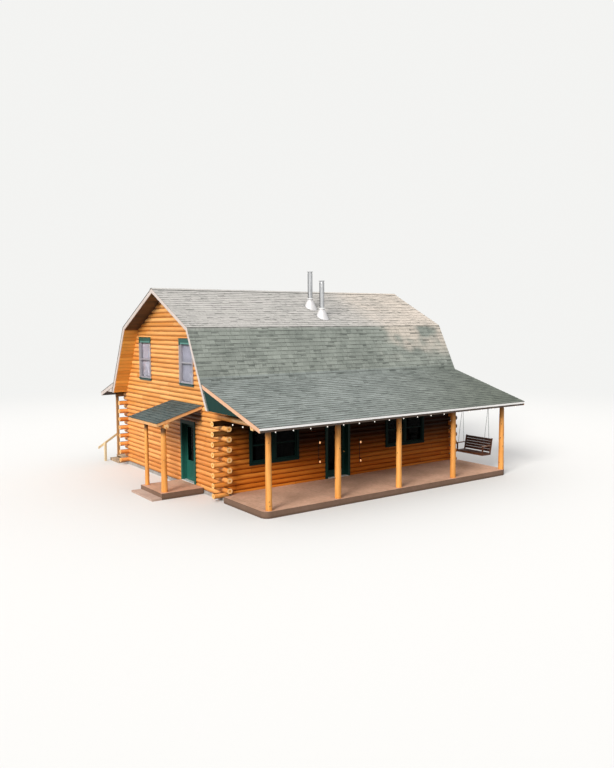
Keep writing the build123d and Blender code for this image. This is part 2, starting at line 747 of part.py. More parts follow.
def floors():
    """Slabs, floors, side slab and step."""
    add("foundation_slab", box(LEFT, RIGHT, FRONT, BACK, 0, FOUNDATION_TOP - SEAT_GAP))
    inset = LOG_DIAMETER + FLOOR_GAP
    add(
        "ground_floor",
        box(LEFT + inset, RIGHT - inset, FRONT + inset, BACK - inset, FOUNDATION_TOP, FLOOR_TOP),
    )
    add(
        "loft_floor",
        box(
            LEFT + inset,
            RIGHT - inset,
            FRONT + LOFT_EDGE,
            BACK - LOFT_EDGE,
            WALL_TOP + SEAT_GAP,
            LOFT_TOP - SEAT_GAP,
        ),
    )
    slab = box(
        LEFT - PORCH_SIDE_REACH,
        RIGHT + PORCH_SIDE_REACH,
        FRONT - POST_LINE - SLAB_PAST_POSTS,
        FRONT - FRONT_PASS - SLAB_GAP,
        0,
        FLOOR_TOP,
    )
    slab = fillet(slab.edges().filter_by(Axis.Z).group_by(Axis.Y)[0], SLAB_CORNER)
    slab += box(
        LEFT + LOG_DIAMETER + SLAB_GAP,
        RIGHT - LOG_DIAMETER - SLAB_GAP,
        FRONT - FRONT_PASS - SLAB_GAP * 2,
        FRONT - CASING_THICKNESS - SLAB_GAP,
        0,
        FLOOR_TOP,
    )
    add("porch_slab", slab)
    near = SIDE_NEAR_POST - SIDE_SLAB_ENDS[0]
    far = SIDE_FAR_POST + SIDE_SLAB_ENDS[1]
    edge = LEFT - SIDE_SLAB_OUT
    add("side_porch_slab", box(edge, LEFT - CASING_THICKNESS - SLAB_GAP, near, far, 0, FLOOR_TOP))
    add("side_step", box(edge - STEP_TREAD, edge - SEAT_GAP, near, far, 0, STEP_TOP))


def walls():
    """Log walls, split beside and over the doorways that open."""
    door_end = FRONT_DOOR_START + DOORWAY_WIDTH
    cuts = [
        (LEFT + start, LEFT + start + TWIN_WINDOW_WIDTH, TWIN_SILL_COURSE, DOOR_COURSES)
        for start in FRONT_WINDOW_STARTS
    ]
    low = range(DOOR_COURSES)
    high = range(DOOR_COURSES, COURSES)
    door = (LEFT + FRONT_DOOR_START, LEFT + door_end, 0, DOOR_COURSES)
    front = front_back_wall(-1, low, cuts + [door])
    middle = LEFT + FRONT_DOOR_START + DOORWAY_WIDTH / 2
    add("front_wall_left", [log for log in front if log.center().X < middle])
    add("front_wall_right", [log for log in front if log.center().X > middle])
    add("front_wall_top", front_back_wall(-1, high, []))
    back_door = (LEFT + BACK_DOOR_START, LEFT + BACK_DOOR_START + DOORWAY_WIDTH, 0, DOOR_COURSES)
    add("back_wall", front_back_wall(1, range(COURSES), cuts + [back_door]))
    door = (FRONT + SIDE_DOOR_START, FRONT + SIDE_DOOR_START + DOORWAY_WIDTH, 0, DOOR_COURSES)
    left = gable_wall(-1, low, [door])
    middle = FRONT + SIDE_DOOR_START + DOORWAY_WIDTH / 2
    add("left_wall_front", [log for log in left if log.center().Y < middle])
    add("left_wall_back", [log for log in left if log.center().Y > middle])
    add("left_wall_top", under_porch(gable_wall(-1, high, [])))
    window = (-TWIN_WINDOW_WIDTH / 2, TWIN_WINDOW_WIDTH / 2, TWIN_SILL_COURSE, DOOR_COURSES)
    add("right_wall", under_porch(gable_wall(1, range(COURSES), [window])))
    add("left_gable", gable_top(-1))
    add("right_gable", gable_top(1))


def roofs():
    """Roof slopes, their shingle layers and their trim."""
    end = RIGHT + RAKE_OVERHANG
    inset = BOARD + SEAT_GAP
    names = ("roof_front_lower", "roof_front_upper", "roof_back_upper", "roof_back_lower")
    slopes = roof_layer(SHINGLE_LAYER, ROOF_THICKNESS, inset - end, end - inset)
    for name, slope in zip(names, slopes):
        add(name, slope)
    far = end + SHINGLE_LIP
    add("main_roof_shingles", roof_layer(0, SHINGLE_LAYER - SEAT_GAP, -far, far))
    porch = (PORCH_SLOPE, PORCH_REACH, PORCH_EAVE)
    rear = (REAR_SLOPE, REAR_REACH, REAR_EAVE)
    add("porch_roof", lean_deck(*porch, PORCH_ROOF_THICKNESS))
    add("rear_porch_roof", mirror_y(lean_deck(*rear, PORCH_ROOF_THICKNESS)))
    add("porch_roof_shingles", lean_shingles(*porch))
    add("rear_porch_shingles", mirror_y(lean_shingles(*rear)))
    add(
        "roof_trim",
        rake_boards(),
        lean_fascia(*porch),
        lean_fascia(*rear, mirrored=True),
        lean_rakes(*rear, mirrored=True),
        end_panels(*rear, PORCH_ROOF_THICKNESS, mirrored=True),
    )
    add("porch_rake_boards", lean_rakes(*porch))
    add("porch_end_panels", end_panels(*porch, PORCH_ROOF_THICKNESS))


def side_height(out, depth=0.0):
    """Height of the side porch roof's top less a depth, at a distance out from the wall."""
    slope = radians(SIDE_SLOPE)
    return SIDE_EAVE + (SIDE_REACH - out) * tan(slope) - depth / cos(slope)


def side_layer(near, far, top, bottom, y0, y1):
    """Layer of the side porch roof between two distances out from the wall."""
    points = [
        (LEFT - far, side_height(far, top)),
        (LEFT - near, side_height(near, top)),
        (LEFT - near, side_height(near, bottom)),
        (LEFT - far, side_height(far, bottom)),
    ]
    return prism_y(points, y0, y1)


def side_porch():
    """Small lean-to roof over the side door, on two log posts."""
    front = FRONT + SIDE_ROOF_FRONT
    back = front + SIDE_ROOF_WIDTH
    edge = SHINGLE_LIP + BOARD + SEAT_GAP
    deck_far = SIDE_REACH - BOARD - SHINGLE_LIP - SEAT_GAP
    fascia_near = deck_far + SEAT_GAP
    ledger_top = side_height(LEDGER + SEAT_GAP, SIDE_ROOF_THICKNESS + SEAT_GAP)
    add(
        "side_porch_roof",
        side_layer(SEAT_GAP, deck_far, SHINGLE_LAYER, SIDE_ROOF_THICKNESS, front + edge, back - edge),
        box(
            LEFT - LEDGER - SEAT_GAP,
            LEFT - SEAT_GAP,
            front + edge,
            back - edge,
            ledger_top - LEDGER_HEIGHT,
            ledger_top,
        ),
    )
    add(
        "side_porch_shingles",
        side_layer(SEAT_GAP, SIDE_REACH, 0, SHINGLE_LAYER - SEAT_GAP, front, back),
    )
    top = SHINGLE_LAYER + SEAT_GAP
    rake = side_layer(SEAT_GAP, fascia_near + BOARD, top, top + SIDE_FASCIA_DEPTH, 0, BOARD)
    fascia_top = side_height(fascia_near + BOARD, top)
    add(
        "side_porch_fascia",
        Pos(0, front + SHINGLE_LIP, 0) * rake,
        Pos(0, back - SHINGLE_LIP - BOARD, 0) * rake,
        box(
            LEFT - fascia_near - BOARD,
            LEFT - fascia_near,
            front + edge,
            back - edge,
            fascia_top - SIDE_FASCIA_DEPTH,
            fascia_top,
        ),
    )
    radius = SIDE_HEADER_DIAMETER / 2
    flat = radius * (COURSE / LOG_DIAMETER)
    section = Circle(radius) & Rectangle(radius * 2, flat * 2)
    slope = radians(SIDE_SLOPE)
    support = sqrt(radius**2 - flat**2) * sin(slope) + flat * cos(slope)
    under = side_height(SIDE_POST_OUT, SIDE_ROOF_THICKNESS + SEAT_GAP)
    centre = under - support / cos(slope)
    x = LEFT - SIDE_POST_OUT
    near = SIDE_NEAR_POST - SIDE_HEADER_REACH
    far = SIDE_FAR_POST + SIDE_HEADER_REACH
    add("side_porch_header", log_y(near, far, x, centre, section))
    top = centre - flat - SEAT_GAP
    places = (SIDE_NEAR_POST, SIDE_FAR_POST)
    add(
        "side_porch_posts",
        [
            peeled_log(x, y, FLOOR_TOP + SEAT_GAP, top, foot, head)
            for y, foot, head in zip(places, SIDE_POST_FEET, SIDE_POST_TOPS)
        ],
    )


def header_centre():
    """Height of the porch header's centre, with its flat's corner under the roof."""
    slope = radians(PORCH_SLOPE)
    depth = PORCH_ROOF_THICKNESS + SEAT_GAP
    under = lean_height(-POST_LINE, depth, PORCH_SLOPE, PORCH_REACH, PORCH_EAVE)
    support = FLAT_HALF * sin(slope) + COURSE / 2 * cos(slope)
    return under - support / cos(slope)


def post_places(first, last):
    """X of each post of a row, from the end posts' insets from the gable walls' faces."""
    pitch = (LENGTH - first - last) / (POST_COUNT - 1)
    return [LEFT + first + pitch * step for step in range(POST_COUNT)]


def porch():
    """Round posts and header of the front porch."""
    centre = header_centre()
    y = FRONT - POST_LINE
    add("porch_header", log_x(LEFT - HEADER_REACH, RIGHT + HEADER_REACH, y, centre))
    top = centre - COURSE / 2
    foot = FLOOR_TOP + SEAT_GAP
    places = post_places(FIRST_POST, LAST_POST)
    add("porch_posts", [peeled_log(x, y, foot, top, POST_FOOT, POST_TOP) for x in places])


def rear():
    """Rear deck on bearers, its posts and header, one step and a sloping handrail."""
    start = BACK + SLAB_GAP + CASING_THICKNESS
    end = BACK + DECK_DEPTH
    top = FLOOR_TOP
    inner = LOG_DIAMETER + SLAB_GAP
    clear = BACK + FRONT_PASS + SLAB_GAP
    boards = box(LEFT + inner, RIGHT - inner, start, clear + SLAB_GAP, top - DECK_BOARD, top)
    boards += box(LEFT, RIGHT, clear, end, top - DECK_BOARD, top)
    bearer_top = top - DECK_BOARD - SEAT_GAP
    bearers = [box(LEFT + inner, RIGHT - inner, start + BEARER, start + BEARER * 2, 0, bearer_top)]
    bearers += [box(LEFT, RIGHT, y, y + BEARER, 0, bearer_top) for y in ((start + end) / 2, end - BEARER)]
    add("rear_deck", boards, bearers)
    half = REAR_POST / 2
    y = BACK + REAR_POST_LINE
    depth = PORCH_ROOF_THICKNESS + SEAT_GAP
    under = lean_height(-REAR_POST_LINE - half, depth, REAR_SLOPE, REAR_REACH, REAR_EAVE)
    foot = under - REAR_HEADER_HEIGHT
    places = post_places(REAR_POST_INSET, REAR_POST_INSET)
    posts = [box(x - half, x + half, y - half, y + half, top + SEAT_GAP, foot - SEAT_GAP) for x in places]
    beam = box(LEFT, RIGHT, y - half, y + half, foot, under)
    add("rear_porch_frame", posts, beam)
    add("rear_step", box(LEFT - REAR_STEP_TREAD, LEFT - SEAT_GAP, clear, end, 0, REAR_STEP_TOP))
    slope = atan2(RAIL_DROP, RAIL_REACH)
    rail_y = y + half + SEAT_GAP
    high = top + RAIL_HEIGHT
    start_x = LEFT + REAR_POST
    run = RAIL_REACH + REAR_POST
    drop = run * tan(slope)
    deep = RAIL_WIDTH / cos(slope)
    rail = prism_y(
        [
            (start_x, high),
            (start_x - run, high - drop),
            (start_x - run, high - drop - deep),
            (start_x, high - deep),
        ],
        rail_y,
        rail_y + RAIL_THICKNESS,
    )
    newel_x = LEFT - NEWEL_OUT
    newel_top = high - (start_x - newel_x) * tan(slope) - RAIL_NOTCH
    side = rail_y - SEAT_GAP
    newel = box(newel_x - NEWEL / 2, newel_x + NEWEL / 2, side - NEWEL, side, 0, newel_top)
    add("rear_handrail", rail, newel)


def frames():
    """Window frames and glass."""
    ground = []
    loft = []
    panes = []
    for wall, start, width, foot, head in windows():
        place = on_wall(wall, start, width, foot)
        if foot < WALL_TOP:
            ground.append(place * window_frame(width, head - foot, CASING, CASING))
        else:
            loft.append(place * window_frame(width, head - foot, LOFT_CASING, LOFT_SILL))
        panes.append(place * window_pane(width, head - foot))
    add("ground_window_frames", ground)
    add("loft_window_frames", loft)
    add("window_glass", panes)


def doors():
    """The two doors that open, and the back door, which is fixed."""
    for name, door in (("front_door", FRONT_DOOR), ("side_door", SIDE_DOOR)):
        add(name + "_frame", door.frame())
        add(name, door.leaf())
        add(name + "_glass", door.glass())
        add(name + "_fittings", door.fittings())
    add("door_hinge_pins", FRONT_DOOR.hinge_pins(), SIDE_DOOR.hinge_pins())
    door = BACK_DOOR
    add("back_door", door.frame(), door.leaf(), door.glass(), door.hinge_pins(), door.fittings())


def flues():
    """Two metal flues with conical boots on the upper front slope."""
    pipes = []
    boots = []
    slope = atan2(RIDGE_RISE, DEPTH / 2 - BREAK_IN)
    radius = FLUE_DIAMETER / 2
    bore = FLUE_DIAMETER + SEAT_GAP * 2
    foot_radius = BOOT_FOOT + (BOOT_FOOT - radius) * BOOT_FOOT / BOOT_HEIGHT
    up = (Align.CENTER, Align.CENTER, Align.MIN)
    down = (Align.CENTER, Align.CENTER, Align.MAX)
    under_roof = Box(BOOT_BASE * 2, BOOT_BASE * 2, BOOT_BASE, align=down)
    for distance, rise in zip(FLUE_YS, FLUE_TOPS):
        x = LEFT + FLUE_X
        y = FRONT + distance
        z = roof_height(distance)
        top = z + rise
        origin = (x, y, z + SEAT_GAP)
        surface = Plane(origin=origin, x_dir=(1, 0, 0), z_dir=(0, -sin(slope), cos(slope)))
        pipe = rod((x, y, z - FLUE_DIAMETER), (x, y, top), FLUE_DIAMETER)
        pipe -= surface * under_roof
        cap_foot = top - CAP_OVERLAP
        pipe += rod((x, y, cap_foot), (x, y, cap_foot + CAP_HEIGHT), CAP_DIAMETER)
        pipes.append(pipe)
        cone = Pos(x, y, z - BOOT_FOOT) * Cone(
            foot_radius, radius + FLUE_WALL, BOOT_HEIGHT + BOOT_FOOT, align=up
        )
        boot = surface * Box(BOOT_BASE, BOOT_BASE, BOOT_PLATE, align=up)
        boot += cone - surface * under_roof
        boot -= rod((x, y, z - BOOT_COLLAR), (x, y, z + BOOT_COLLAR), bore)
        boots.append(boot)
    add("flue_pipes", pipes)
    add("flue_boots", boots)


def swing_hanger(x, y, plate_top, axis_z):
    """Bushed hanger: a plate under the tie log, two ears and the pin between them."""
    pin_half = HANGER_EYE_THICKNESS / 2 + HANGER_EAR_GAP + HANGER_PLATE
    half = HANGER_WIDTH / 2
    ear_half = HANGER_EYE / 2
    hanger = box(x - half, x + half, y - pin_half, y + pin_half, plate_top - HANGER_PLATE, plate_top)
    ear = box(x - ear_half, x + ear_half, 0, HANGER_PLATE, axis_z - HANGER_PIN, plate_top)
    hanger += Pos(0, y - pin_half, 0) * ear
    hanger += Pos(0, y + pin_half - HANGER_PLATE, 0) * ear
    return hanger + rod((x, y - pin_half, axis_z), (x, y + pin_half, axis_z), HANGER_PIN)


def swing_chain(x, y, axis_z, feet, foot_z):
    """Eye on the hanger's pin with one chain to each end of an arm."""
    half = HANGER_EYE_THICKNESS / 2
    low = axis_z - HANGER_EYE / 2
    chain = rod((x, y - half, axis_z), (x, y + half, axis_z), HANGER_EYE)
    for foot_x in feet:
        chain += rod((x, y, low), (foot_x, y, foot_z), CHAIN)
    chain += rod((x, y, low + CHAIN / 2), (x, y, low - CHAIN), CHAIN)
    bore = HANGER_PIN + HINGE_PLAY * 2
    return chain - rod((x, y - HANGER_EYE, axis_z), (x, y + HANGER_EYE, axis_z), bore)


def bench_side(x0, x1, y, seat, rail_top, back_x):
    """One end of the bench: rail, arm, front upright and leaning back upright."""
    rail_foot = rail_top - SEAT_FRAME
    arm_top = seat + ARM_HEIGHT
    arm_foot = arm_top - ARM_THICKNESS
    middle = y + SWING_SIDE / 2
    side = box(x0, x1, y, y + SWING_SIDE, rail_foot, rail_top)
    side += box(x0, x1, middle - ARM_WIDTH / 2, middle + ARM_WIDTH / 2, arm_foot, arm_top)
    side += box(x0, x0 + SWING_SIDE, y, y + SWING_SIDE, rail_foot, arm_top)
    foot_x = x1 - SWING_SIDE
    top = FLOOR_TOP + BACK_TOP
    outline = [
        (foot_x, rail_foot),
        (foot_x + SWING_SIDE, rail_foot),
        (back_x + SWING_SIDE, top),
        (back_x, top),
    ]
    return side + prism_y(outline, y, y + SWING_SIDE)


def swing():
    """Bench hung by chains from two bushed hangers under the right tie log."""
    x = RIGHT - RADIUS + SWING_OUT
    tie_foot = level(COURSES - 1) + SEAM / 2
    plate_top = tie_foot - SEAT_GAP
    axis_z = plate_top - HANGER_DROP
    seat = FLOOR_TOP + SEAT_TOP
    rail_top = seat - SEAT_THICKNESS - SEAT_GAP
    x0 = x - SWING_BALANCE - SEAT_DEPTH / 2
    x1 = x0 + SEAT_DEPTH
    lean = radians(BACK_LEAN)
    back_foot = x1 - SWING_SIDE
    back_x = back_foot + (BACK_TOP + FLOOR_TOP - rail_top) * tan(lean)
    near = FRONT - SWING_MIDDLE - SWING_SPAN / 2
    far = FRONT - SWING_MIDDLE + SWING_SPAN / 2
    y0 = near - SWING_SIDE / 2
    y1 = far + SWING_SIDE / 2
    frame = box(x0, x0 + SWING_SIDE, y0, y1, rail_top - SEAT_FRAME, rail_top)
    frame += box(back_foot - SWING_SIDE, back_foot, y0, y1, rail_top - SEAT_FRAME, rail_top)
    for side_y in (y0, y1 - SWING_SIDE):
        frame += bench_side(x0, x1, side_y, seat, rail_top, back_x)
    add("swing_frame", frame)
    places = (near, far)
    feet = (x0 + ARM_WIDTH, x1 - ARM_WIDTH)
    add("swing_hangers", [swing_hanger(x, y, plate_top, axis_z) for y in places])
    add("swing_chains", [swing_chain(x, y, axis_z, feet, seat + ARM_HEIGHT) - frame for y in places])
    slats = []
    inner0 = y0 + SWING_SIDE + SEAT_GAP
    inner1 = y1 - SWING_SIDE - SEAT_GAP
    pitch = (SEAT_DEPTH - SWING_SIDE) / SLAT_COUNT
    for step in range(SLAT_COUNT):
        a = x0 + step * pitch
        slats.append(box(a, a + pitch - SLAT_GAP, inner0, inner1, rail_top + SEAT_GAP, seat))
    start = seat + BACK_SLAT_LIFT
    rise = (FLOOR_TOP + BACK_TOP - start) / SLAT_COUNT
    for step in range(SLAT_COUNT):
        low = start + step * rise
        high = low + rise - SLAT_GAP
        a = back_foot + (low - rail_top) * tan(lean)
        b = back_foot + (high - rail_top) * tan(lean)
        outline = [(a, low), (b, high), (b + SEAT_THICKNESS, high), (a + SEAT_THICKNESS, low)]
        slats.append(prism_y(outline, inner0, inner1))
    add("swing_slats", slats)


def string_lights():
    """Cord clipped under the porch eave and the left tie log, with hanging bulbs."""
    depth = PORCH_ROOF_THICKNESS + SEAT_GAP
    out = PORCH_REACH - CORD_EAVE_IN
    radius = CORD_DIAMETER / 2
    y = FRONT - out
    slope = radians(PORCH_SLOPE)
    z = lean_height(-out, depth, PORCH_SLOPE, PORCH_REACH, PORCH_EAVE) - radius / cos(slope)
    tie_x = LEFT + RADIUS + FLAT_HALF / 2
    pass_x = LEFT + FIRST_POST + POST_TOP / 2 + CORD_CLEAR
    tie_z = level(COURSES - 1) - radius
    lowest = min(header_centre() - COURSE / 2, level(COURSES - 1))
    under = lowest - radius - SEAT_GAP
    side = RADIUS + CORD_CLEAR
    points = [
        (RIGHT + RAKE_OVERHANG - CORD_END_IN, y, z),
        (pass_x, y, z),
        (pass_x, FRONT - POST_LINE - side, under),
        (pass_x, FRONT - POST_LINE + side, under),
        (tie_x, FRONT - POST_LINE + side * 2, tie_z),
        (tie_x, FRONT - TIE_CORD_END, tie_z),
    ]
    path = FilletPolyline(*points, radius=CORD_BEND)
    section = Plane(origin=path @ 0, z_dir=path % 0) * Circle(radius)
    add("string_light_cord", sweep(section, path=path))
    bulbs = []
    spots = []
    x = RIGHT + RAKE_OVERHANG - BULB_SPACING / 2
    while x > pass_x + CORD_BEND * 2:
        spots.append((x, y, z))
        x -= BULB_SPACING
    tie_y = FRONT - TIE_CORD_END - BULB_SPACING / 4
    while tie_y > FRONT - POST_LINE + side * 2 + CORD_BEND * 2:
        spots.append((tie_x, tie_y, tie_z))
        tie_y -= BULB_SPACING
    for spot_x, spot_y, spot_z in spots:
        top = spot_z - radius - SEAT_GAP
        socket = rod((spot_x, spot_y, top - BULB_DROP), (spot_x, spot_y, top), SOCKET_DIAMETER)
        bulbs.append(socket + Pos(spot_x, spot_y, top - BULB_DROP) * Sphere(BULB_DIAMETER / 2))
    add("string_light_bulbs", bulbs)


def main():
    """Build every node and write one STEP file for each."""
    os.makedirs("parts", exist_ok=True)
    sections = (floors, walls, roofs, side_porch, porch, rear)
    sections += (frames, doors, flues, swing, string_lights)
    for section in sections:
        section()
    for name, solids in PARTS.items():
        export_step(Compound(solids) if len(solids) > 1 else solids[0], f"parts/{name}.step")
        print(name, len(solids))


main()
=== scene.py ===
"""Looks of the log cabin: shingles, bars, posts, chains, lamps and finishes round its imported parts.

Metres, in the part's frame: origin at ground level under the middle of the log walls,
+X along the porch wall, -Y towards the porch, +Z up.
"""
import logging
import math
from dataclasses import dataclass, field, replace
from enum import Enum
from functools import reduce

import bpy
import numpy as np
from mathutils import Matrix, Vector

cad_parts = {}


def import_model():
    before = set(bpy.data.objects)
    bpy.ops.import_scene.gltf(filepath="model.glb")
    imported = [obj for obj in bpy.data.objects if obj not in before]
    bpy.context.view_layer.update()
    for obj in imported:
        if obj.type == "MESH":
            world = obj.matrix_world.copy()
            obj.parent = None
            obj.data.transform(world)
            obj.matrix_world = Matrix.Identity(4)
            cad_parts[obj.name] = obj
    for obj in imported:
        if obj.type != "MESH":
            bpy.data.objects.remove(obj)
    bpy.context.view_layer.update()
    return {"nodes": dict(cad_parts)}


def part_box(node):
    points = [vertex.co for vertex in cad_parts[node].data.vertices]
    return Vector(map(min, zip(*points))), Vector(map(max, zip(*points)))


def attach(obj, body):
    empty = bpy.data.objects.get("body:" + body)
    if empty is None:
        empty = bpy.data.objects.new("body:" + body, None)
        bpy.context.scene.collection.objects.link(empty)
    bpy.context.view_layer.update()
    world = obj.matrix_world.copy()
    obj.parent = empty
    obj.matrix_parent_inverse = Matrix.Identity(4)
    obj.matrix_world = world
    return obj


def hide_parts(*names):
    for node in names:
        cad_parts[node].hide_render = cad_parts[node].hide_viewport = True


LOG = logging.getLogger("cabin")
Socket = bpy.types.NodeSocket
Material = bpy.types.Material
Tree = bpy.types.NodeTree
Pair = tuple[float, float]
Point = tuple[float, float, float]
Colour = Point
Faces = list[np.ndarray]
Shape = tuple[np.ndarray, Faces]
Inputs = dict[int | str, object]

# Faces of a shell of eight points: a lower ring of four, then an upper one
BOX = np.array([[3, 2, 1, 0], [4, 5, 6, 7], [0, 1, 5, 4], [1, 2, 6, 5], [2, 3, 7, 6], [3, 0, 4, 7]])


@dataclass(frozen=True)
class Shell:
    """Main sizes of the log shell, shared by every sub-assembly."""

    right: float = 5.485
    back: float = 4.265
    course: float = 0.175
    log_radius: float = 0.1
    foundation: float = 0.115
    loft: float = 3.115
    overhang: float = 0.594
    eave_out: float = 0.075
    break_in: float = 1.348
    break_rise: float = 2.770
    ridge_rise: float = 1.457


SHELL = Shell()


class Wall(Enum):
    """Wall that a window or door stands in, with its turn about Z in degrees."""

    FRONT = 0.0
    BACK = 180.0
    LEFT = -90.0
    RIGHT = 90.0

    def place(self, points: np.ndarray, start: float, width: float, foot: float) -> np.ndarray:
        """Carry points drawn at the origin and facing -Y into the wall.

        Args:
            points: Array whose last axis holds x along the opening, y inwards and z up.
            start: Distance of the opening along the wall, from the left or front corner.
            width: Width of the opening.
            foot: Height of the opening's foot.

        Returns:
            The points in the part's frame.
        """
        origins = {
            Wall.FRONT: (start - SHELL.right, -SHELL.back),
            Wall.BACK: (start + width - SHELL.right, SHELL.back),
            Wall.LEFT: (-SHELL.right, start + width - SHELL.back),
            Wall.RIGHT: (SHELL.right, start - SHELL.back),
        }
        turn = math.radians(self.value)
        x = points[..., 0] * math.cos(turn) - points[..., 1] * math.sin(turn) + origins[self][0]
        y = points[..., 0] * math.sin(turn) + points[..., 1] * math.cos(turn) + origins[self][1]
        return np.stack([x, y, points[..., 2] + foot], axis=-1)


class Along(Enum):
    """Direction of the grain, with the order that brings it to the first coordinate."""

    X = (0, 1, 2)
    Y = (1, 0, 2)
    Z = (2, 0, 1)


# Meshes


def grid_quads(rows: int, cols: int, wrap_rows: bool = False,
               wrap_cols: bool = False) -> np.ndarray:
    """Quads between neighbouring points of a rows by cols grid.

    Args:
        rows: Points along the first axis.
        cols: Points along the second axis.
        wrap_rows: Whether the last row joins the first.
        wrap_cols: Whether the last column joins the first.

    Returns:
        Point numbers, four a face.
    """
    i, j = np.meshgrid(
        np.arange(rows if wrap_rows else rows - 1),
        np.arange(cols if wrap_cols else cols - 1),
        indexing="ij",
    )
    down = (i + 1) % rows
    over = (j + 1) % cols
    corners = (i * cols + j, i * cols + over, down * cols + over, down * cols + j)
    return np.stack(corners, axis=-1).reshape(-1, 4)


def tube_faces(stations: int, sides: int) -> Faces:
    """Faces of a closed tube: its wall and a flat cap at each end.

    Args:
        stations: Rings along the tube.
        sides: Points of a ring.

    Returns:
        The faces.
    """
    cap = np.arange(sides)[None]
    return [grid_quads(stations, sides, wrap_cols=True), cap[:, ::-1], cap + (stations - 1) * sides]


def volume(points: np.ndarray, faces: Faces) -> float:
    """Signed volume: the sum over all fans of triangles of a . (b x c) / 6.

    Args:
        points: Points of a closed shell.
        faces: Its faces.

    Returns:
        The volume, below zero where the faces point inwards.
    """
    total = 0.0
    for group in faces:
        for k in range(1, group.shape[1] - 1):
            a, b, c = points[group[:, 0]], points[group[:, k]], points[group[:, k + 1]]
            total += float(np.einsum("ij,ij->", a, np.cross(b, c))) / 6.0
    return total


def blocks(low: np.ndarray, high: np.ndarray, chamfer: float) -> Shape:
    """Blocks with softened edges.

    Along x each block has four stations, the outer two drawn in by the chamfer, and each
    station is an octagon: the rectangle with its corners cut by the chamfer.

    Args:
        low: Lowest corners, one row a block.
        high: Highest corners.
        chamfer: Width of the softened edge.

    Returns:
        Points as (block, point, 3) and the faces of one block.
    """
    low, high = np.atleast_2d(low).astype(float), np.atleast_2d(high).astype(float)
    middle, half = (low + high) / 2, (high - low) / 2
    sx = np.array([-1.0, -1.0, 1.0, 1.0])
    inset_x = np.array([0.0, 1.0, 1.0, 0.0])
    end_share = 0.7
    sy = np.array([1, 1, 1, 1, -1, -1, -1, -1.0])
    sz = np.array([-1, -1, 1, 1, 1, 1, -1, -1.0])
    cut_y = np.array([1, 0, 0, 1, 1, 0, 0, 1.0])
    shrink = (1.0 - inset_x)[:, None]
    x = sx[:, None] * (half[:, 0, None, None] - inset_x[:, None] * chamfer) * np.ones(8)
    y = sy * (half[:, 1, None, None] - cut_y * chamfer - shrink * chamfer * (1 - cut_y) * end_share)
    z = sz * (half[:, 2, None, None] - (1 - cut_y) * chamfer - shrink * chamfer * cut_y * end_share)
    points = np.stack(np.broadcast_arrays(x, y, z), axis=-1) + middle[:, None, None, :]
    return points.reshape(len(low), 32, 3), tube_faces(4, 8)


def lathe(profile: np.ndarray, segments: int) -> Shape:
    """Surface of revolution about Z: (r cos a, r sin a, z) for each (r, z) of the profile.

    Args:
        profile: Points of (r, z).
        segments: Steps of the angle a round the axis.

    Returns:
        Points and faces.
    """
    angle = np.linspace(0.0, 2 * np.pi, segments, endpoint=False)
    r, z = profile[:, 0, None], profile[:, 1, None]
    points = np.stack(np.broadcast_arrays(r * np.cos(angle), r * np.sin(angle), z), axis=-1)
    return points.reshape(-1, 3), tube_faces(len(profile), segments)


def ring_frame(x0: float, x1: float, z0: float, z1: float, section: np.ndarray) -> Shape:
    """Mitred frame: a section of (in from the edge, y) points carried round a rectangle.

    Args:
        x0: Left edge.
        x1: Right edge.
        z0: Lower edge.
        z1: Upper edge.
        section: The section's points.

    Returns:
        Points and faces.
    """
    u, y = section[:, 0], section[:, 1]
    corners = [(x0 + u, z0 + u), (x1 - u, z0 + u), (x1 - u, z1 - u), (x0 + u, z1 - u)]
    points = np.stack([np.stack([x, y, z], axis=-1) for x, z in corners])
    return points.reshape(-1, 3), [grid_quads(4, len(section), wrap_rows=True, wrap_cols=True)]


def bar_section(width: float, y0: float, y1: float, soft: float) -> np.ndarray:
    """Section of a frame bar whose outer face at y0 has softened edges."""
    return np.array([[0, y1], [0, y0 + soft], [soft, y0],
                     [width - soft, y0], [width, y0 + soft], [width, y1]])


def carried(section: np.ndarray, x0: float, x1: float) -> Shape:
    """Bar along X: a section of (y, z) points carried from one x to the other.

    Args:
        section: The section's points.
        x0: One end.
        x1: The other end.

    Returns:
        Points and faces.
    """
    ends = [np.insert(section, 0, x, axis=1) for x in (x0, x1)]
    return np.concatenate(ends), tube_faces(2, len(section))


def turned_to(x: np.ndarray, y: np.ndarray, z: np.ndarray, place: Point) -> Matrix:
    """Matrix whose columns are three axes and a place."""
    return Matrix([[x[k], y[k], z[k], place[k]] for k in range(3)] + [[0, 0, 0, 1]])


def add_object(name: str, data: bpy.types.ID) -> bpy.types.Object:
    """Put an object at the origin of the scene.

    Args:
        name: Its name.
        data: Its mesh, camera or lamp.

    Returns:
        The object.
    """
    thing = bpy.data.objects.new(name, data)
    bpy.context.scene.collection.objects.link(thing)
    return thing


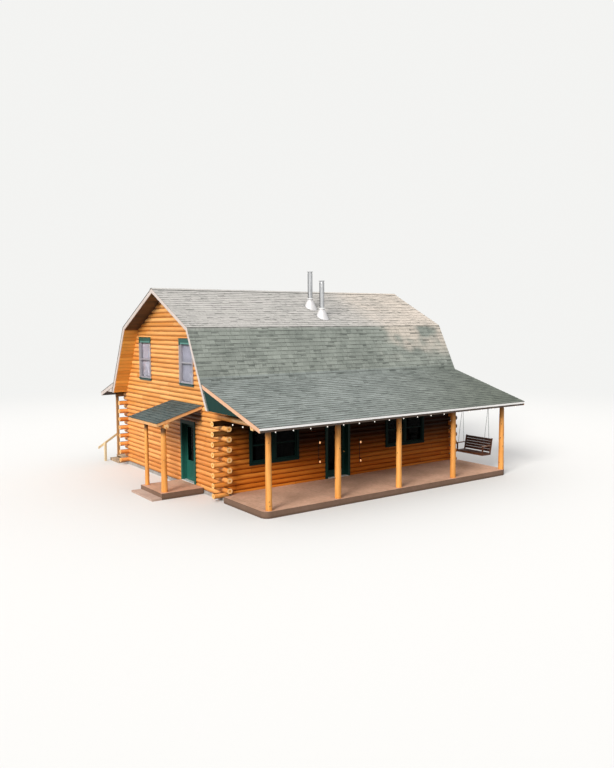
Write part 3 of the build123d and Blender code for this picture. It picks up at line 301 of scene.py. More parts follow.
class Stock:
    """Points and faces of one piece, gathered from closed shells, with a tone for each point."""

    def __init__(self) -> None:
        """Start with nothing."""
        self.points: list[np.ndarray] = []
        self.faces: list[list[int]] = []
        self.tones: list[np.ndarray] = []
        self.laps: list[np.ndarray] = []
        self.count = 0

    def add(self, points: np.ndarray, faces: Faces, tone: float | np.ndarray = 0.5,
            lap: float | np.ndarray = 0.0) -> None:
        """Add like shells, turned so that their faces point outwards.

        Args:
            points: One shell's points as (point, 3), or several as (shell, point, 3).
            faces: Faces of one shell.
            tone: One number, or one a shell.
            lap: One number, or one a point of a shell.
        """
        points = points[None] if points.ndim == 2 else points
        if volume(points[0] - points[0].mean(axis=0), faces) < 0:
            faces = [group[:, ::-1] for group in faces]
        shells, size = points.shape[:2]
        shift = self.count + np.arange(shells)[:, None, None] * size
        for group in faces:
            self.faces += (group[None] + shift).reshape(-1, group.shape[1]).tolist()
        tones = np.broadcast_to(np.asarray(tone, float).reshape(-1, 1), (shells, size))
        self.tones.append(tones.reshape(-1))
        self.laps.append(np.broadcast_to(np.asarray(lap, float), (shells, size)).reshape(-1))
        self.points.append(points.reshape(-1, 3))
        self.count += shells * size

    def put(self, shape: Shape, at: Point = (0.0, 0.0, 0.0)) -> None:
        """Add a shape moved to a place."""
        self.add(shape[0] + at, shape[1])

    def build(self, name: str, finish: Material, slot: str, replaces: tuple[str, ...] = (),
              smooth: float = 0.0, body: str = "cabin") -> None:
        """Make the object, dress it and put it on its body.

        Args:
            name: Name of the piece.
            finish: Material.
            slot: Slot of the record; not used.
            replaces: Nodes that it stands for.
            smooth: Angle in degrees under which edges are shaded smooth, or 0.
            body: Body that it moves with.
        """
        mesh = bpy.data.meshes.new(name)
        mesh.from_pydata(np.concatenate(self.points).tolist(), [], self.faces)
        for label, values in (("tone", self.tones), ("lap", self.laps)):
            layer = mesh.attributes.new(label, "FLOAT", "POINT")
            layer.data.foreach_set("value", np.concatenate(values))
        if smooth:
            mesh.polygons.foreach_set("use_smooth", np.ones(len(mesh.polygons), dtype=bool))
            mesh.set_sharp_from_angle(angle=math.radians(smooth))
        mesh.materials.append(finish)
        piece = add_object(name, mesh)
        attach(piece, body)
        if replaces:
            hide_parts(*replaces)
        LOG.info("%s: %d points, %d faces, on %s", name, self.count, len(self.faces), body)


# Shader nodes


class Shade:
    """Short way to write the nodes of one tree."""

    def __init__(self, tree: Tree, effects: "Effects | None" = None) -> None:
        """Keep the tree, and the shared groups that its nodes may use."""
        self.tree = tree
        self.effects = effects

    def node(self, kind: str, **fields: object) -> bpy.types.Node:
        """Add a node.

        Args:
            kind: Type of the node.
            **fields: Its fields.

        Returns:
            The node.
        """
        node = self.tree.nodes.new(kind)
        for name, value in fields.items():
            setattr(node, name, value)
        return node

    def find(self, kind: str) -> bpy.types.Node:
        """First node of a type."""
        return next(n for n in self.tree.nodes if n.type == kind)

    def feed(self, socket: Socket, value: object) -> None:
        """Link a socket to another, or set its value.

        Args:
            socket: Input.
            value: Socket, number, colour or vector.
        """
        if isinstance(value, Socket):
            self.tree.links.new(value, socket)
        elif isinstance(value, tuple) and len(value) == 3 and socket.type == "RGBA":
            socket.default_value = (*value, 1.0)
        else:
            socket.default_value = value

    def give(self, kind: str, inputs: Inputs, output: int | str = 0, **fields: object) -> Socket:
        """Add a node, feed it and give one output.

        Args:
            kind: Type of the node.
            inputs: Values or sockets by the input's place or name.
            output: Place or name of the output.
            **fields: The node's fields.

        Returns:
            The output.
        """
        node = self.node(kind, **fields)
        for place, value in inputs.items():
            self.feed(node.inputs[place], value)
        return node.outputs[output]

    def math(self, operation: str, *values: object, clamp: bool = False) -> Socket:
        """Maths node on numbers or sockets."""
        inputs = dict(enumerate(values))
        return self.give("ShaderNodeMath", inputs, operation=operation, use_clamp=clamp)

    def times(self, *values: object) -> Socket:
        """Product of all the values."""
        return reduce(lambda a, b: self.math("MULTIPLY", a, b), values)

    def plus(self, a: object, b: object) -> Socket:
        """Sum of two values."""
        return self.math("ADD", a, b)

    def minus(self, a: object, b: object) -> Socket:
        """First value less the second."""
        return self.math("SUBTRACT", a, b)

    def below(self, value: object, limit: float) -> Socket:
        """One where the value is under the limit, and nought elsewhere."""
        return self.math("LESS_THAN", value, limit)

    def size(self, value: object) -> Socket:
        """Value without its sign."""
        return self.math("ABSOLUTE", value)

    def margin(self, share: object) -> Socket:
        """How far a share between 0 and 1 is from the nearer of the two."""
        return self.math("MINIMUM", share, self.minus(1.0, share))

    def mix(self, factor: object, a: object, b: object, blend: str = "MIX") -> Socket:
        """Mix of two colours."""
        inputs = {0: factor, 6: a, 7: b}
        return self.give("ShaderNodeMix", inputs, 2, data_type="RGBA", blend_type=blend)

    def tint(self, factor: object, colour: Socket, by: Colour) -> Socket:
        """Colour multiplied by another, as far as the factor says."""
        return self.mix(factor, colour, self.mix(1.0, colour, by, "MULTIPLY"))

    def ramp(self, value: object, start: float, end: float, low: float = 0.0,
             high: float = 1.0) -> Socket:
        """Number carried smoothly from start..end to low..high."""
        inputs = dict(enumerate((value, start, end, low, high)))
        return self.give("ShaderNodeMapRange", inputs, interpolation_type="SMOOTHSTEP")

    def noise(self, vector: object, scale: float, detail: float = 2.0,
              rough: float = 0.55) -> Socket:
        """Noise between 0 and 1."""
        inputs = {"Vector": vector, "Scale": scale, "Detail": detail, "Roughness": rough}
        return self.give("ShaderNodeTexNoise", inputs)

    def white(self, value: object) -> Socket:
        """Random number for a whole number."""
        return self.give("ShaderNodeTexWhiteNoise", {"W": value}, noise_dimensions="1D")

    def join(self, x: object, y: object, z: object) -> Socket:
        """Vector of three numbers."""
        return self.give("ShaderNodeCombineXYZ", {0: x, 1: y, 2: z})

    def split(self, vector: Socket) -> tuple[Socket, Socket, Socket]:
        """Three numbers of a vector."""
        first = self.give("ShaderNodeSeparateXYZ", {0: vector})
        return tuple(first.node.outputs)

    def stretch(self, vector: Socket, scale: Point) -> Socket:
        """Vector times a vector."""
        return self.give("ShaderNodeVectorMath", {0: vector, 1: scale}, operation="MULTIPLY")

    def attribute(self, name: str) -> Socket:
        """Number of a mesh attribute."""
        return self.node("ShaderNodeAttribute", attribute_name=name).outputs["Fac"]

    def place(self) -> Socket:
        """Object coordinates."""
        return self.node("ShaderNodeTexCoord").outputs["Object"]

    def facing(self) -> tuple[Socket, Socket, Socket]:
        """Three numbers of the normal in the object's own frame."""
        return self.split(self.node("ShaderNodeTexCoord").outputs["Normal"])

    def bump(self, height: object, depth: float, strength: float = 1.0) -> Socket:
        """Normal from a height."""
        inputs = {"Height": height, "Distance": depth, "Strength": strength}
        return self.give("ShaderNodeBump", inputs)

    def blend(self, factor: Socket, a: Socket, b: Socket) -> Socket:
        """Mix of two shaders."""
        return self.give("ShaderNodeMixShader", {0: factor, 1: a, 2: b})

    def use(self, group: Tree, **values: object) -> bpy.types.Node:
        """Place a shader group.

        Args:
            group: The group.
            **values: Its inputs, named with _ for a space.

        Returns:
            The node.
        """
        node = self.node("ShaderNodeGroup", node_tree=group)
        for name, value in values.items():
            self.feed(node.inputs[name.replace("_", " ")], value)
        return node


def dim(colour: Colour, share: float) -> Colour:
    """Colour times a share."""
    return tuple(share * v for v in colour)


def new_group(name: str, inputs: Inputs, outputs: Inputs) -> tuple[Tree, Inputs, Inputs]:
    """Empty shader group with named sockets.

    Args:
        name: Name of the group.
        inputs: Kind of each input by its name.
        outputs: Kind of each output by its name.

    Returns:
        The group, its input sockets by name and its output sockets by name.
    """
    tree = bpy.data.node_groups.new(name, "ShaderNodeTree")
    for side, sockets in (("INPUT", inputs), ("OUTPUT", outputs)):
        for label, kind in sockets.items():
            tree.interface.new_socket(name=label, in_out=side, socket_type=f"NodeSocket{kind}")
    start = tree.nodes.new("NodeGroupInput")
    end = tree.nodes.new("NodeGroupOutput")
    return tree, {k: start.outputs[k] for k in inputs}, {k: end.inputs[k] for k in outputs}


@dataclass
class Effects:
    """Shader groups that several finishes use: grain, end grain, planks and weather."""

    knot_stain: Colour = (0.16, 0.055, 0.018)
    ring_stain: Colour = (0.22, 0.08, 0.025)
    crack_dark: Colour = (0.07, 0.025, 0.01)
    ring_pitch: float = 820.0
    grain: Tree = field(init=False)
    end_grain: Tree = field(init=False)
    planks: Tree = field(init=False)
    weather: Tree = field(init=False)

    def __post_init__(self) -> None:
        """Build each group once."""
        self.grain = self.make_grain()
        self.end_grain = self.make_end_grain()
        self.planks = self.make_planks()
        self.weather = self.make_weather()

    def make_grain(self) -> Tree:
        """Wood along X: noise drawn out along the grain, with knots where a cell's middle is near.

        Returns:
            The group.
        """
        tree, given, out = new_group(
            "wood grain",
            {"Vector": "Vector", "Tone": "Float", "Dark": "Color", "Light": "Color",
             "Knots": "Float"},
            {"Color": "Color", "Height": "Float"},
        )
        s = Shade(tree)
        shift = s.times(given["Tone"], 37.0)
        x, y, z = s.split(given["Vector"])
        moved = s.join(s.plus(x, shift), y, s.plus(z, shift))
        broad = s.noise(s.stretch(moved, (0.9, 9.0, 9.0)), 1.0, 3.0)
        fine = s.noise(s.stretch(moved, (5.0, 95.0, 95.0)), 1.0, 3.0, 0.65)
        cells = {"Vector": s.stretch(moved, (1.7, 5.2, 5.2))}
        knot = s.ramp(s.give("ShaderNodeTexVoronoi", cells, "Distance"), 0.13, 0.05)
        knot = s.times(knot, given["Knots"])
        value = s.plus(s.times(broad, 0.75), s.times(fine, 0.45))
        value = s.plus(value, s.times(s.minus(given["Tone"], 0.5), 0.5))
        colour = s.mix(s.ramp(value, 0.25, 0.95), given["Dark"], given["Light"])
        s.feed(out["Color"], s.mix(knot, colour, s.mix(0.85, colour, self.knot_stain)))
        s.feed(out["Height"], s.minus(fine, s.times(knot, 0.6)))
        return tree

    def make_end_grain(self) -> Tree:
        """Sawn end: rings of the distance from the heart, a paler rim and radial checks.

        Returns:
            The group.
        """
        tree, given, out = new_group(
            "end grain",
            {"Across": "Float", "Up": "Float", "Radius": "Float", "Heart": "Color", "Rim": "Color"},
            {"Color": "Color", "Height": "Float"},
        )
        s = Shade(tree)
        across, up = given["Across"], given["Up"]
        wave = s.times(s.noise(s.join(across, up, 0.0), 22.0, 2.0), 0.012)
        square = s.plus(s.math("POWER", across, 2.0), s.math("POWER", up, 2.0))
        radius = s.plus(s.math("SQRT", square), wave)
        rings = s.math("SINE", s.times(radius, self.ring_pitch))
        share = s.math("DIVIDE", radius, given["Radius"])
        colour = s.mix(s.ramp(share, 0.30, 0.66), given["Heart"], given["Rim"])
        colour = s.mix(s.times(s.ramp(rings, 0.2, 1.0), 0.18), colour, self.ring_stain)
        angle = s.math("ARCTAN2", up, across)
        spokes = s.noise(s.join(s.times(angle, 2.6), 0.0, s.times(radius, 6.0)), 2.4, 2.0)
        crack = s.times(s.ramp(spokes, 0.655, 0.70), s.ramp(share, 0.85, 0.3))
        s.feed(out["Color"], s.mix(crack, colour, self.crack_dark))
        s.feed(out["Height"], s.minus(s.times(rings, 0.2), crack))
        return tree

    def make_planks(self) -> Tree:
        """Boards side by side: a random tone for the board's number, and a groove at its edges.

        Returns:
            The group.
        """
        tree, given, out = new_group(
            "planks",
            {"Across": "Float", "Width": "Float", "Gap": "Float"},
            {"Tone": "Float", "Groove": "Float"},
        )
        s = Shade(tree)
        count = s.math("DIVIDE", given["Across"], given["Width"])
        number = s.math("FLOOR", count)
        edge = s.times(s.margin(s.minus(count, number)), given["Width"])
        s.feed(out["Tone"], s.white(number))
        s.feed(out["Groove"], s.minus(1.0, s.ramp(s.math("DIVIDE", edge, given["Gap"]), 0.4, 1.0)))
        return tree

    def make_weather(self) -> Tree:
        """Dirt and fading: blotches and streaks that run down, over any colour.

        Returns:
            The group.
        """
        tree, given, out = new_group(
            "weather",
            {"Vector": "Vector", "Color": "Color", "Dirt": "Color", "Amount": "Float"},
            {"Color": "Color", "Mask": "Float"},
        )
        s = Shade(tree)
        blotch = s.noise(given["Vector"], 1.3, 4.0, 0.6)
        streak = s.noise(s.stretch(given["Vector"], (6.0, 6.0, 0.7)), 1.6, 3.0)
        value = s.times(s.ramp(blotch, 0.38, 0.68), s.ramp(streak, 0.35, 0.7))
        mask = s.math("MULTIPLY", value, given["Amount"], clamp=True)
        s.feed(out["Color"], s.mix(mask, given["Color"], given["Dirt"]))
        s.feed(out["Mask"], mask)
        return tree


# Finishes


@dataclass(frozen=True)
class Finish:
    """Base of every finish: one material round a Principled shader."""

    name: str

    def dress(self, effects: Effects) -> Material:
        """Make the material.

        Args:
            effects: Shared shader groups.

        Returns:
            The material.
        """
        material = bpy.data.materials.new(self.name)
        material.use_nodes = True
        s = Shade(material.node_tree, effects)
        shader = s.find("BSDF_PRINCIPLED")
        for label, value in self.look(s).items():
            s.feed(shader.inputs[label.replace("_", " ")], value)
        return material

    def look(self, s: Shade) -> Inputs:
        """Values and sockets for the shader's inputs, each named with _ for a space."""
        raise NotImplementedError


@dataclass(frozen=True)
class LogWood(Finish):
    """Stained round logs laid in courses, with sawn ends. Under the porch roofs, painted shade
    darkens them with height.
    """

    along: Along
    lateral: float
    dark: Colour = (0.70, 0.275, 0.050)
    light: Colour = (0.96, 0.50, 0.165)
    heart: Colour = (0.80, 0.30, 0.022)
    rim: Colour = (0.98, 0.58, 0.24)
    # The next two colours paint shade under the front porch roof: a near black and a warmer tint.
    deep: Colour = (0.006, 0.0014, 0.0002)
    warm: Colour = (0.82, 0.60, 0.30)
    lower: Colour = (0.95, 0.83, 0.72)
    # Painted shade on the lower half of each log.
    under: Colour = (0.62, 0.36, 0.16)
    # Painted shade under the side porch roof.
    hooded: Colour = (0.055, 0.017, 0.004)
    # Painted sunlight on the tie log.
    painted_light: Colour = (1.0, 0.64, 0.33)
    # Painted shade in the seams between the logs.
    seam_dark: Colour = (0.13, 0.030, 0.004)
    butt_dark: Colour = (0.05, 0.015, 0.006)
    butt_length: float = 4.35
    seam: float = 0.014
    coat: float = 0.18
    # Amount of painted shade under the front porch roof.
    porch_shade: float = 0.0
    hood: Point | None = None
    tie_from: float | None = None

    def stain_and_painted_shading(self, s: Shade, colour: Socket, along: Socket, across: Socket, z: Socket) -> Socket:
        """Tint the logs a little darker and redder low down, paint shade under the porch and under
        the hood, and paint sunlight on the tie log.

        Args:
            s: Nodes of the material.
            colour: Colour of the grain.
            along: Distance along the log.
            across: Distance across it.
            z: Height.

        Returns:
            The tinted colour with its painted shade and painted sunlight.
        """
        colour = s.tint(s.ramp(z, 2.9, 1.6), colour, self.lower)
        # Painted shade under the front porch roof: deeper with height, and starting higher near the
        # lit corner.
        if self.porch_shade:
            inward = s.ramp(along, -5.35, -4.1)
            colour = s.tint(s.ramp(along, -5.6, -4.9), colour, self.warm)
            inner = s.times(s.ramp(z, 0.42, 1.90), inward)
            corner = s.times(s.ramp(z, 1.65, 2.55), s.minus(1.0, inward))
            colour = s.mix(s.times(s.plus(inner, corner), self.porch_shade), colour, self.deep)
        # Painted shade under the side porch roof, deeper with height up to the roof.
        if self.hood is not None:
            front, back, top = self.hood
            inside = s.times(s.ramp(along, front, front + 0.12), s.ramp(along, back, back - 0.12))
            outer = s.times(s.below(z, top), s.below(across, 0.0))
            level = s.times(s.ramp(z, top - 0.85, top - 0.35), outer)
            colour = s.mix(s.times(inside, level, 0.92), colour, self.hooded)
        # Painted sunlight on the tie log beyond the wall.
        if self.tie_from is not None:
            tie = s.times(s.ramp(along, self.tie_from, self.tie_from - 0.3), 0.7)
            colour = s.mix(tie, colour, self.painted_light)
        return colour

    def look(self, s: Shade) -> Inputs:
        """Grain along the log, one tone a length, painted shade in the seams and under each log, and
        rings on the sawn ends.

        Args:
            s: Nodes of the material.

        Returns:
            The shader's inputs.
        """
        xyz = s.split(s.place())
        order = self.along.value
        along, across, z = xyz[order[0]], xyz[order[1]], xyz[2]
        count = s.math("DIVIDE", s.minus(z, SHELL.foundation), SHELL.course)
        course = s.math("FLOOR", count)
        part = s.minus(count, course)
        side = s.math("GREATER_THAN", across, 0.0)
        start = s.white(s.plus(course, s.times(side, 40.0)))
        lengths = s.plus(s.math("DIVIDE", along, self.butt_length), start)
        number = s.math("FLOOR", lengths)
        tone = s.white(s.plus(s.times(course, 7.0), s.plus(number, start)))
        grain = s.use(s.effects.grain, Vector=s.join(along, across, z), Tone=tone, Dark=self.dark,
                      Light=self.light, Knots=0.75)
        worn_and_shaded = s.noise(s.join(s.times(along, 1.6), across, s.times(z, 5.0)), 1.0, 3.0)
        # Painted shade in the seams between the logs, uneven along them.
        seam = s.ramp(s.times(s.margin(part), SHELL.course), self.seam, 0.0)
        seam = s.times(seam, s.ramp(worn_and_shaded, 0.34, 0.60, 0.35, 0.92))
        butt_edge = s.times(s.margin(s.minus(lengths, number)), self.butt_length)
        butt = s.ramp(butt_edge, 0.006, 0.002)
        colour = self.stain_and_painted_shading(s, grain.outputs["Color"], along, across, z)
        # Painted shade on the lower half of each log.
        colour = s.tint(s.times(s.ramp(part, 0.45, 0.03), 0.62), colour, self.under)
        colour = s.mix(seam, colour, self.seam_dark)
        colour = s.mix(s.times(butt, 0.9), colour, self.butt_dark)
        up = s.times(s.minus(part, 0.5), SHELL.course)
        ends = s.use(s.effects.end_grain, Across=s.minus(s.size(across), self.lateral), Up=up,
                     Radius=SHELL.log_radius, Heart=self.heart, Rim=self.rim)
        sawn = s.ramp(s.size(s.facing()[order[0]]), 0.85, 0.95)
        fine = grain.outputs["Height"]
        height = s.minus(fine, s.times(butt, 2.0))
        return {"Base_Color": s.mix(sawn, colour, ends.outputs["Color"]),
                "Roughness": s.ramp(fine, 0.2, 0.8, 0.36, 0.55),
                "Normal": s.bump(height, 0.002, 0.55),
                "Coat_Weight": self.coat, "Coat_Roughness": 0.35,
                "Specular_IOR_Level": 0.10 if self.porch_shade else 0.4}


@dataclass(frozen=True)
class SawnWood(Finish):
    """Wood with grain along one axis, one tone for each board across another."""

    along: Along
    dark: Colour
    light: Colour
    width: float = 0.14
    gap: float = 0.006
    across: int = 1
    knots: float = 0.5
    rough: float = 0.55

    def look(self, s: Shade) -> Inputs:
        """Grain, a tone a board and dark grooves between boards.

        Args:
            s: Nodes of the material.

        Returns:
            The shader's inputs.
        """
        xyz = s.split(s.place())
        boards = s.use(s.effects.planks, Across=xyz[self.across], Width=self.width, Gap=self.gap)
        vector = s.join(*(xyz[k] for k in self.along.value))
        grain = s.use(s.effects.grain, Vector=vector, Tone=boards.outputs["Tone"], Dark=self.dark,
                      Light=self.light, Knots=self.knots)
        groove = boards.outputs["Groove"]
        height = s.minus(s.times(grain.outputs["Height"], 0.3), groove)
        colour = s.mix(s.times(groove, 0.85), grain.outputs["Color"], dim(self.dark, 0.18))
        return {"Base_Color": colour, "Roughness": self.rough, "Normal": s.bump(height, 0.003, 0.6)}


@dataclass(frozen=True)
class PeeledWood(Finish):
    """Peeled and stained upright or level log whose mesh carries its own tone."""

    along: Along
    dark: Colour = (0.58, 0.195, 0.026)
    light: Colour = (0.95, 0.455, 0.110)
    centre: Pair = (0.0, 0.0)
    radius: float = 0.1
    # Heights over which painted shade of the roof darkens the top.
    crown: Pair | None = None
    heart: Colour = (0.74, 0.30, 0.08)
    rim: Colour = (0.90, 0.58, 0.26)
    knot: Colour = (0.13, 0.038, 0.008)
    shaded: Colour = (0.036, 0.013, 0.004)

    def look(self, s: Shade) -> Inputs:
        """Grain along the log with plain knots, rings on its ends and painted shade at the crown.

        Args:
            s: Nodes of the material.

        Returns:
            The shader's inputs.
        """
        xyz = s.split(s.place())
        order = self.along.value
        grain = s.use(s.effects.grain, Vector=s.join(*(xyz[k] for k in order)),
                      Tone=s.attribute("tone"), Dark=self.dark, Light=self.light, Knots=0.95)
        across, up = (s.minus(xyz[k], middle) for k, middle in zip(order[1:], self.centre))
        ends = s.use(s.effects.end_grain, Across=across, Up=up, Radius=self.radius,
                     Heart=self.heart, Rim=self.rim)
        near_knot = s.times(s.ramp(s.attribute("lap"), 0.22, 0.7), 0.92)
        colour = s.mix(near_knot, grain.outputs["Color"], self.knot)
        # Painted shade of the roof on the top of the post.
        if self.crown is not None:
            colour = s.mix(s.times(s.ramp(xyz[2], *self.crown), 0.9), colour, self.shaded)
        sawn = s.ramp(s.size(s.facing()[order[0]]), 0.85, 0.95)
        return {"Base_Color": s.mix(sawn, colour, ends.outputs["Color"]), "Roughness": 0.45,
                "Normal": s.bump(grain.outputs["Height"], 0.002, 0.5), "Coat_Weight": 0.15,
                "Coat_Roughness": 0.4}


@dataclass(frozen=True)
class Asphalt(Finish):
    """Granular shingles, each with its own tone, paler on the upper slopes with painted sky glare."""

    dark: Colour
    light: Colour
    # Colour of the painted sky glare on the upper slopes.
    painted_light: Colour
    glare_from: float = 5.87
    # Warm colour of the painted glare and painted sunlight at the right end.
    rosy: Colour = (0.66, 0.58, 0.50)
    grey: Colour = (0.54, 0.55, 0.47)
    cool: Colour = (0.95, 0.97, 1.04)
    shaded_below: float = 4.2

    def painted_light_and_shade(self, s: Shade, colour: Socket, high: Socket, low: Socket, pale: Socket) -> Socket:
        """Paint sky glare on the upper slopes, sunlight in a cloud at the right end and shade towards
        the porch roof's right end, and cool the porch roof.

        Args:
            s: Nodes of the material.
            colour: Colour of the granules.
            high: One above the bend of the main roof.
            low: One on the front porch's roof.
            pale: How far the painted glare goes.

        Returns:
            The colour with its painted light and shade.
        """
        x, y, z = s.split(s.place())
        # Painted sky glare above the bend, warmer towards the right end.
        colour = s.mix(pale, colour, s.mix(s.ramp(x, 0.5, 5.5), self.painted_light, self.rosy))
        # Painted sunlight in a cloud on the lower slope's right end.
        cloud = s.ramp(s.noise(s.join(x, s.plus(y, z), 0.0), 0.55, 2.0), 0.40, 0.58)
        warm = s.times(s.ramp(x, 2.0, 3.4), cloud, s.ramp(z, 4.3, 5.3))
        colour = s.mix(s.times(warm, s.minus(0.80, s.times(high, 0.3))), colour, self.rosy)
        # Painted shade on the porch roof, deeper towards its right end.
        far = s.times(s.ramp(s.minus(x, y), 4.0, 13.5), low)
        colour = s.tint(far, colour, self.grey)
        return s.tint(s.times(low, 0.8), colour, self.cool)

    def look(self, s: Shade) -> Inputs:
        """Tone of the tab, granules, streaks, painted shadow under the next course and painted shade
        on the butts.

        Args:
            s: Nodes of the material.

        Returns:
            The shader's inputs.
        """
        place = s.place()
        _, y, z = s.split(place)
        grit = s.noise(place, 420.0, 2.0, 0.7)
        patch = s.noise(place, 0.9, 4.0, 0.6)
        value = s.plus(s.times(s.attribute("tone"), 0.60), s.times(patch, 0.75))
        value = s.plus(value, s.times(s.minus(grit, 0.5), 0.9))
        # Painted sky glare above the bend, stronger on paler tabs.
        high = s.ramp(z, self.glare_from - 0.10, self.glare_from + 0.06)
        low = s.times(s.below(z, self.shaded_below), s.below(y, -3.0))
        pale = s.times(high, s.ramp(value, -0.2, 0.9, 0.45, 0.95))
        colour = s.mix(s.ramp(value, 0.15, 1.15), self.dark, self.light)
        colour = self.painted_light_and_shade(s, colour, high, low, pale)
        worn_and_shaded = s.use(s.effects.weather, Vector=place, Color=colour, Dirt=dim(self.dark, 0.55),
                     Amount=0.35)
        lap = s.attribute("lap")
        uneven = s.noise(s.stretch(place, (3.2, 9.0, 9.0)), 1.0, 2.0)
        uneven = s.ramp(uneven, 0.36, 0.64, 0.22, 0.78)
        # Painted shadow just under the next course's butt, stronger on the porch roof.
        line = s.times(s.ramp(lap, 0.62, 0.82), s.plus(uneven, s.times(low, 0.15)))
        line = s.times(line, s.ramp(lap, 1.00, 1.08, 1.0, 0.6))
        dash = s.times(s.ramp(lap, 1.02, 1.34), s.minus(0.16, s.times(high, 0.08)))
        # Painted shade on the butts' faces.
        butt = s.ramp(s.facing()[2], 0.10, -0.10)
        colour = worn_and_shaded.outputs["Color"]
        for mask, share in ((line, 0.42), (dash, 0.30), (butt, 0.22)):
            colour = s.mix(mask, colour, dim(self.dark, share))
        return {"Base_Color": colour, "Roughness": 0.82, "Normal": s.bump(grit, 0.0012, 0.8),
                "Specular_IOR_Level": 0.35}


@dataclass(frozen=True)
class Paint(Finish):
    """Painted or stained boards, a little uneven, with dirt, and painted shade under the porch roofs
    where set.
    """

    colour: Colour
    shadow: Colour
    rough: float = 0.45
    dirt: float = 0.5
    # Amount of painted shade under the front porch roof.
    porch_shade: float = 0.0
    gloss: float = 0.5
    foot_shade: float = 0.45
    # Amount of painted shade by the side door.
    hood: float = 0.0

    def worn_and_shaded(self, s: Shade, colour: object, shadow: object) -> Socket:
        """Uneven colour with dirt over it, and painted shade under the porch roofs and by the side
        door.

        Args:
            s: Nodes of the material.
            colour: Colour or socket.
            shadow: Colour or socket of its darker side.

        Returns:
            The dirty colour with its painted shade.
        """
        place = s.place()
        uneven = s.mix(s.times(s.noise(place, 5.0, 4.0), 0.5), colour, shadow)
        worn_and_shaded = s.use(s.effects.weather, Vector=place, Color=uneven, Dirt=shadow, Amount=self.dirt)
        colour = worn_and_shaded.outputs["Color"]
        x, y, z = s.split(place)
        # Near black of the painted shade.
        deep = dim(self.colour, 0.10)
        # Painted shade under the front porch roof, deeper with height.
        if self.porch_shade:
            under = s.times(s.below(y, -4.0), s.ramp(z, 0.4, 2.2, self.foot_shade, 1.0))
            colour = s.mix(s.times(under, self.porch_shade), colour, deep)
        # Painted shade by the side door under its porch roof, deeper with height.
        if self.hood:
            side = s.times(s.below(x, -5.2), s.ramp(z, 1.0, 2.3, 0.0, self.hood))
            colour = s.mix(side, colour, deep)
        return colour

    def cover(self, s: Shade, colour: object, shadow: object) -> Inputs:
        """Lay the dirty colour with its painted shade and fine brush marks.

        Args:
            s: Nodes of the material.
            colour: Colour or socket.
            shadow: Colour or socket of its darker side.

        Returns:
            The shader's inputs.
        """
        marks = s.noise(s.stretch(s.place(), (40.0, 40.0, 4.0)), 3.0, 3.0, 0.6)
        return {"Base_Color": self.worn_and_shaded(s, colour, shadow), "Roughness": self.rough,
                "Normal": s.bump(marks, 0.0012, 0.35), "Specular_IOR_Level": self.gloss}

    def look(self, s: Shade) -> Inputs:
        """One colour all over."""
        return self.cover(s, self.colour, self.shadow)


@dataclass(frozen=True)
class LoftPaint(Paint):
    """Loft window frame: green over the head, pale sides and a grey foot under the sill."""

    side: Colour = (0.42, 0.38, 0.395)
    foot: Colour = (0.085, 0.120, 0.120)
    sill: float = 3.835
    head: float = 5.230

    def look(self, s: Shade) -> Inputs:
        """Three colours by height.

        Args:
            s: Nodes of the material.

        Returns:
            The shader's inputs.
        """
        z = s.split(s.place())[2]
        between, lower = s.below(z, self.head), s.below(z, self.sill)
        colour = s.mix(lower, s.mix(between, self.colour, self.side), self.foot)
        shadow = s.mix(between, self.shadow, dim(self.side, 0.7))
        return self.cover(s, colour, s.mix(lower, shadow, dim(self.foot, 0.5)))


@dataclass(frozen=True)
class Fascia(Paint):
    """Roof trim: pale rakes, and a porch fascia that is brown under a pale top edge, its brown
    darkened with painted shade.
    """

    # The board's brown, darkened with painted shade.
    brown: Colour = (0.085, 0.055, 0.038)
    white: Colour = (0.92, 0.89, 0.86)
    front: float = -7.48
    band: float = 2.866

    def look(self, s: Shade) -> Inputs:
        """Pale paint, brown on the lower part of the porch fascia.

        Args:
            s: Nodes of the material.

        Returns:
            The shader's inputs.
        """
        _, y, z = s.split(s.place())
        porch = s.below(y, self.front)
        brown = s.times(porch, s.below(z, self.band))
        colour = s.mix(brown, s.mix(porch, self.colour, self.white), self.brown)
        return self.cover(s, colour, s.mix(brown, self.shadow, dim(self.brown, 0.4)))


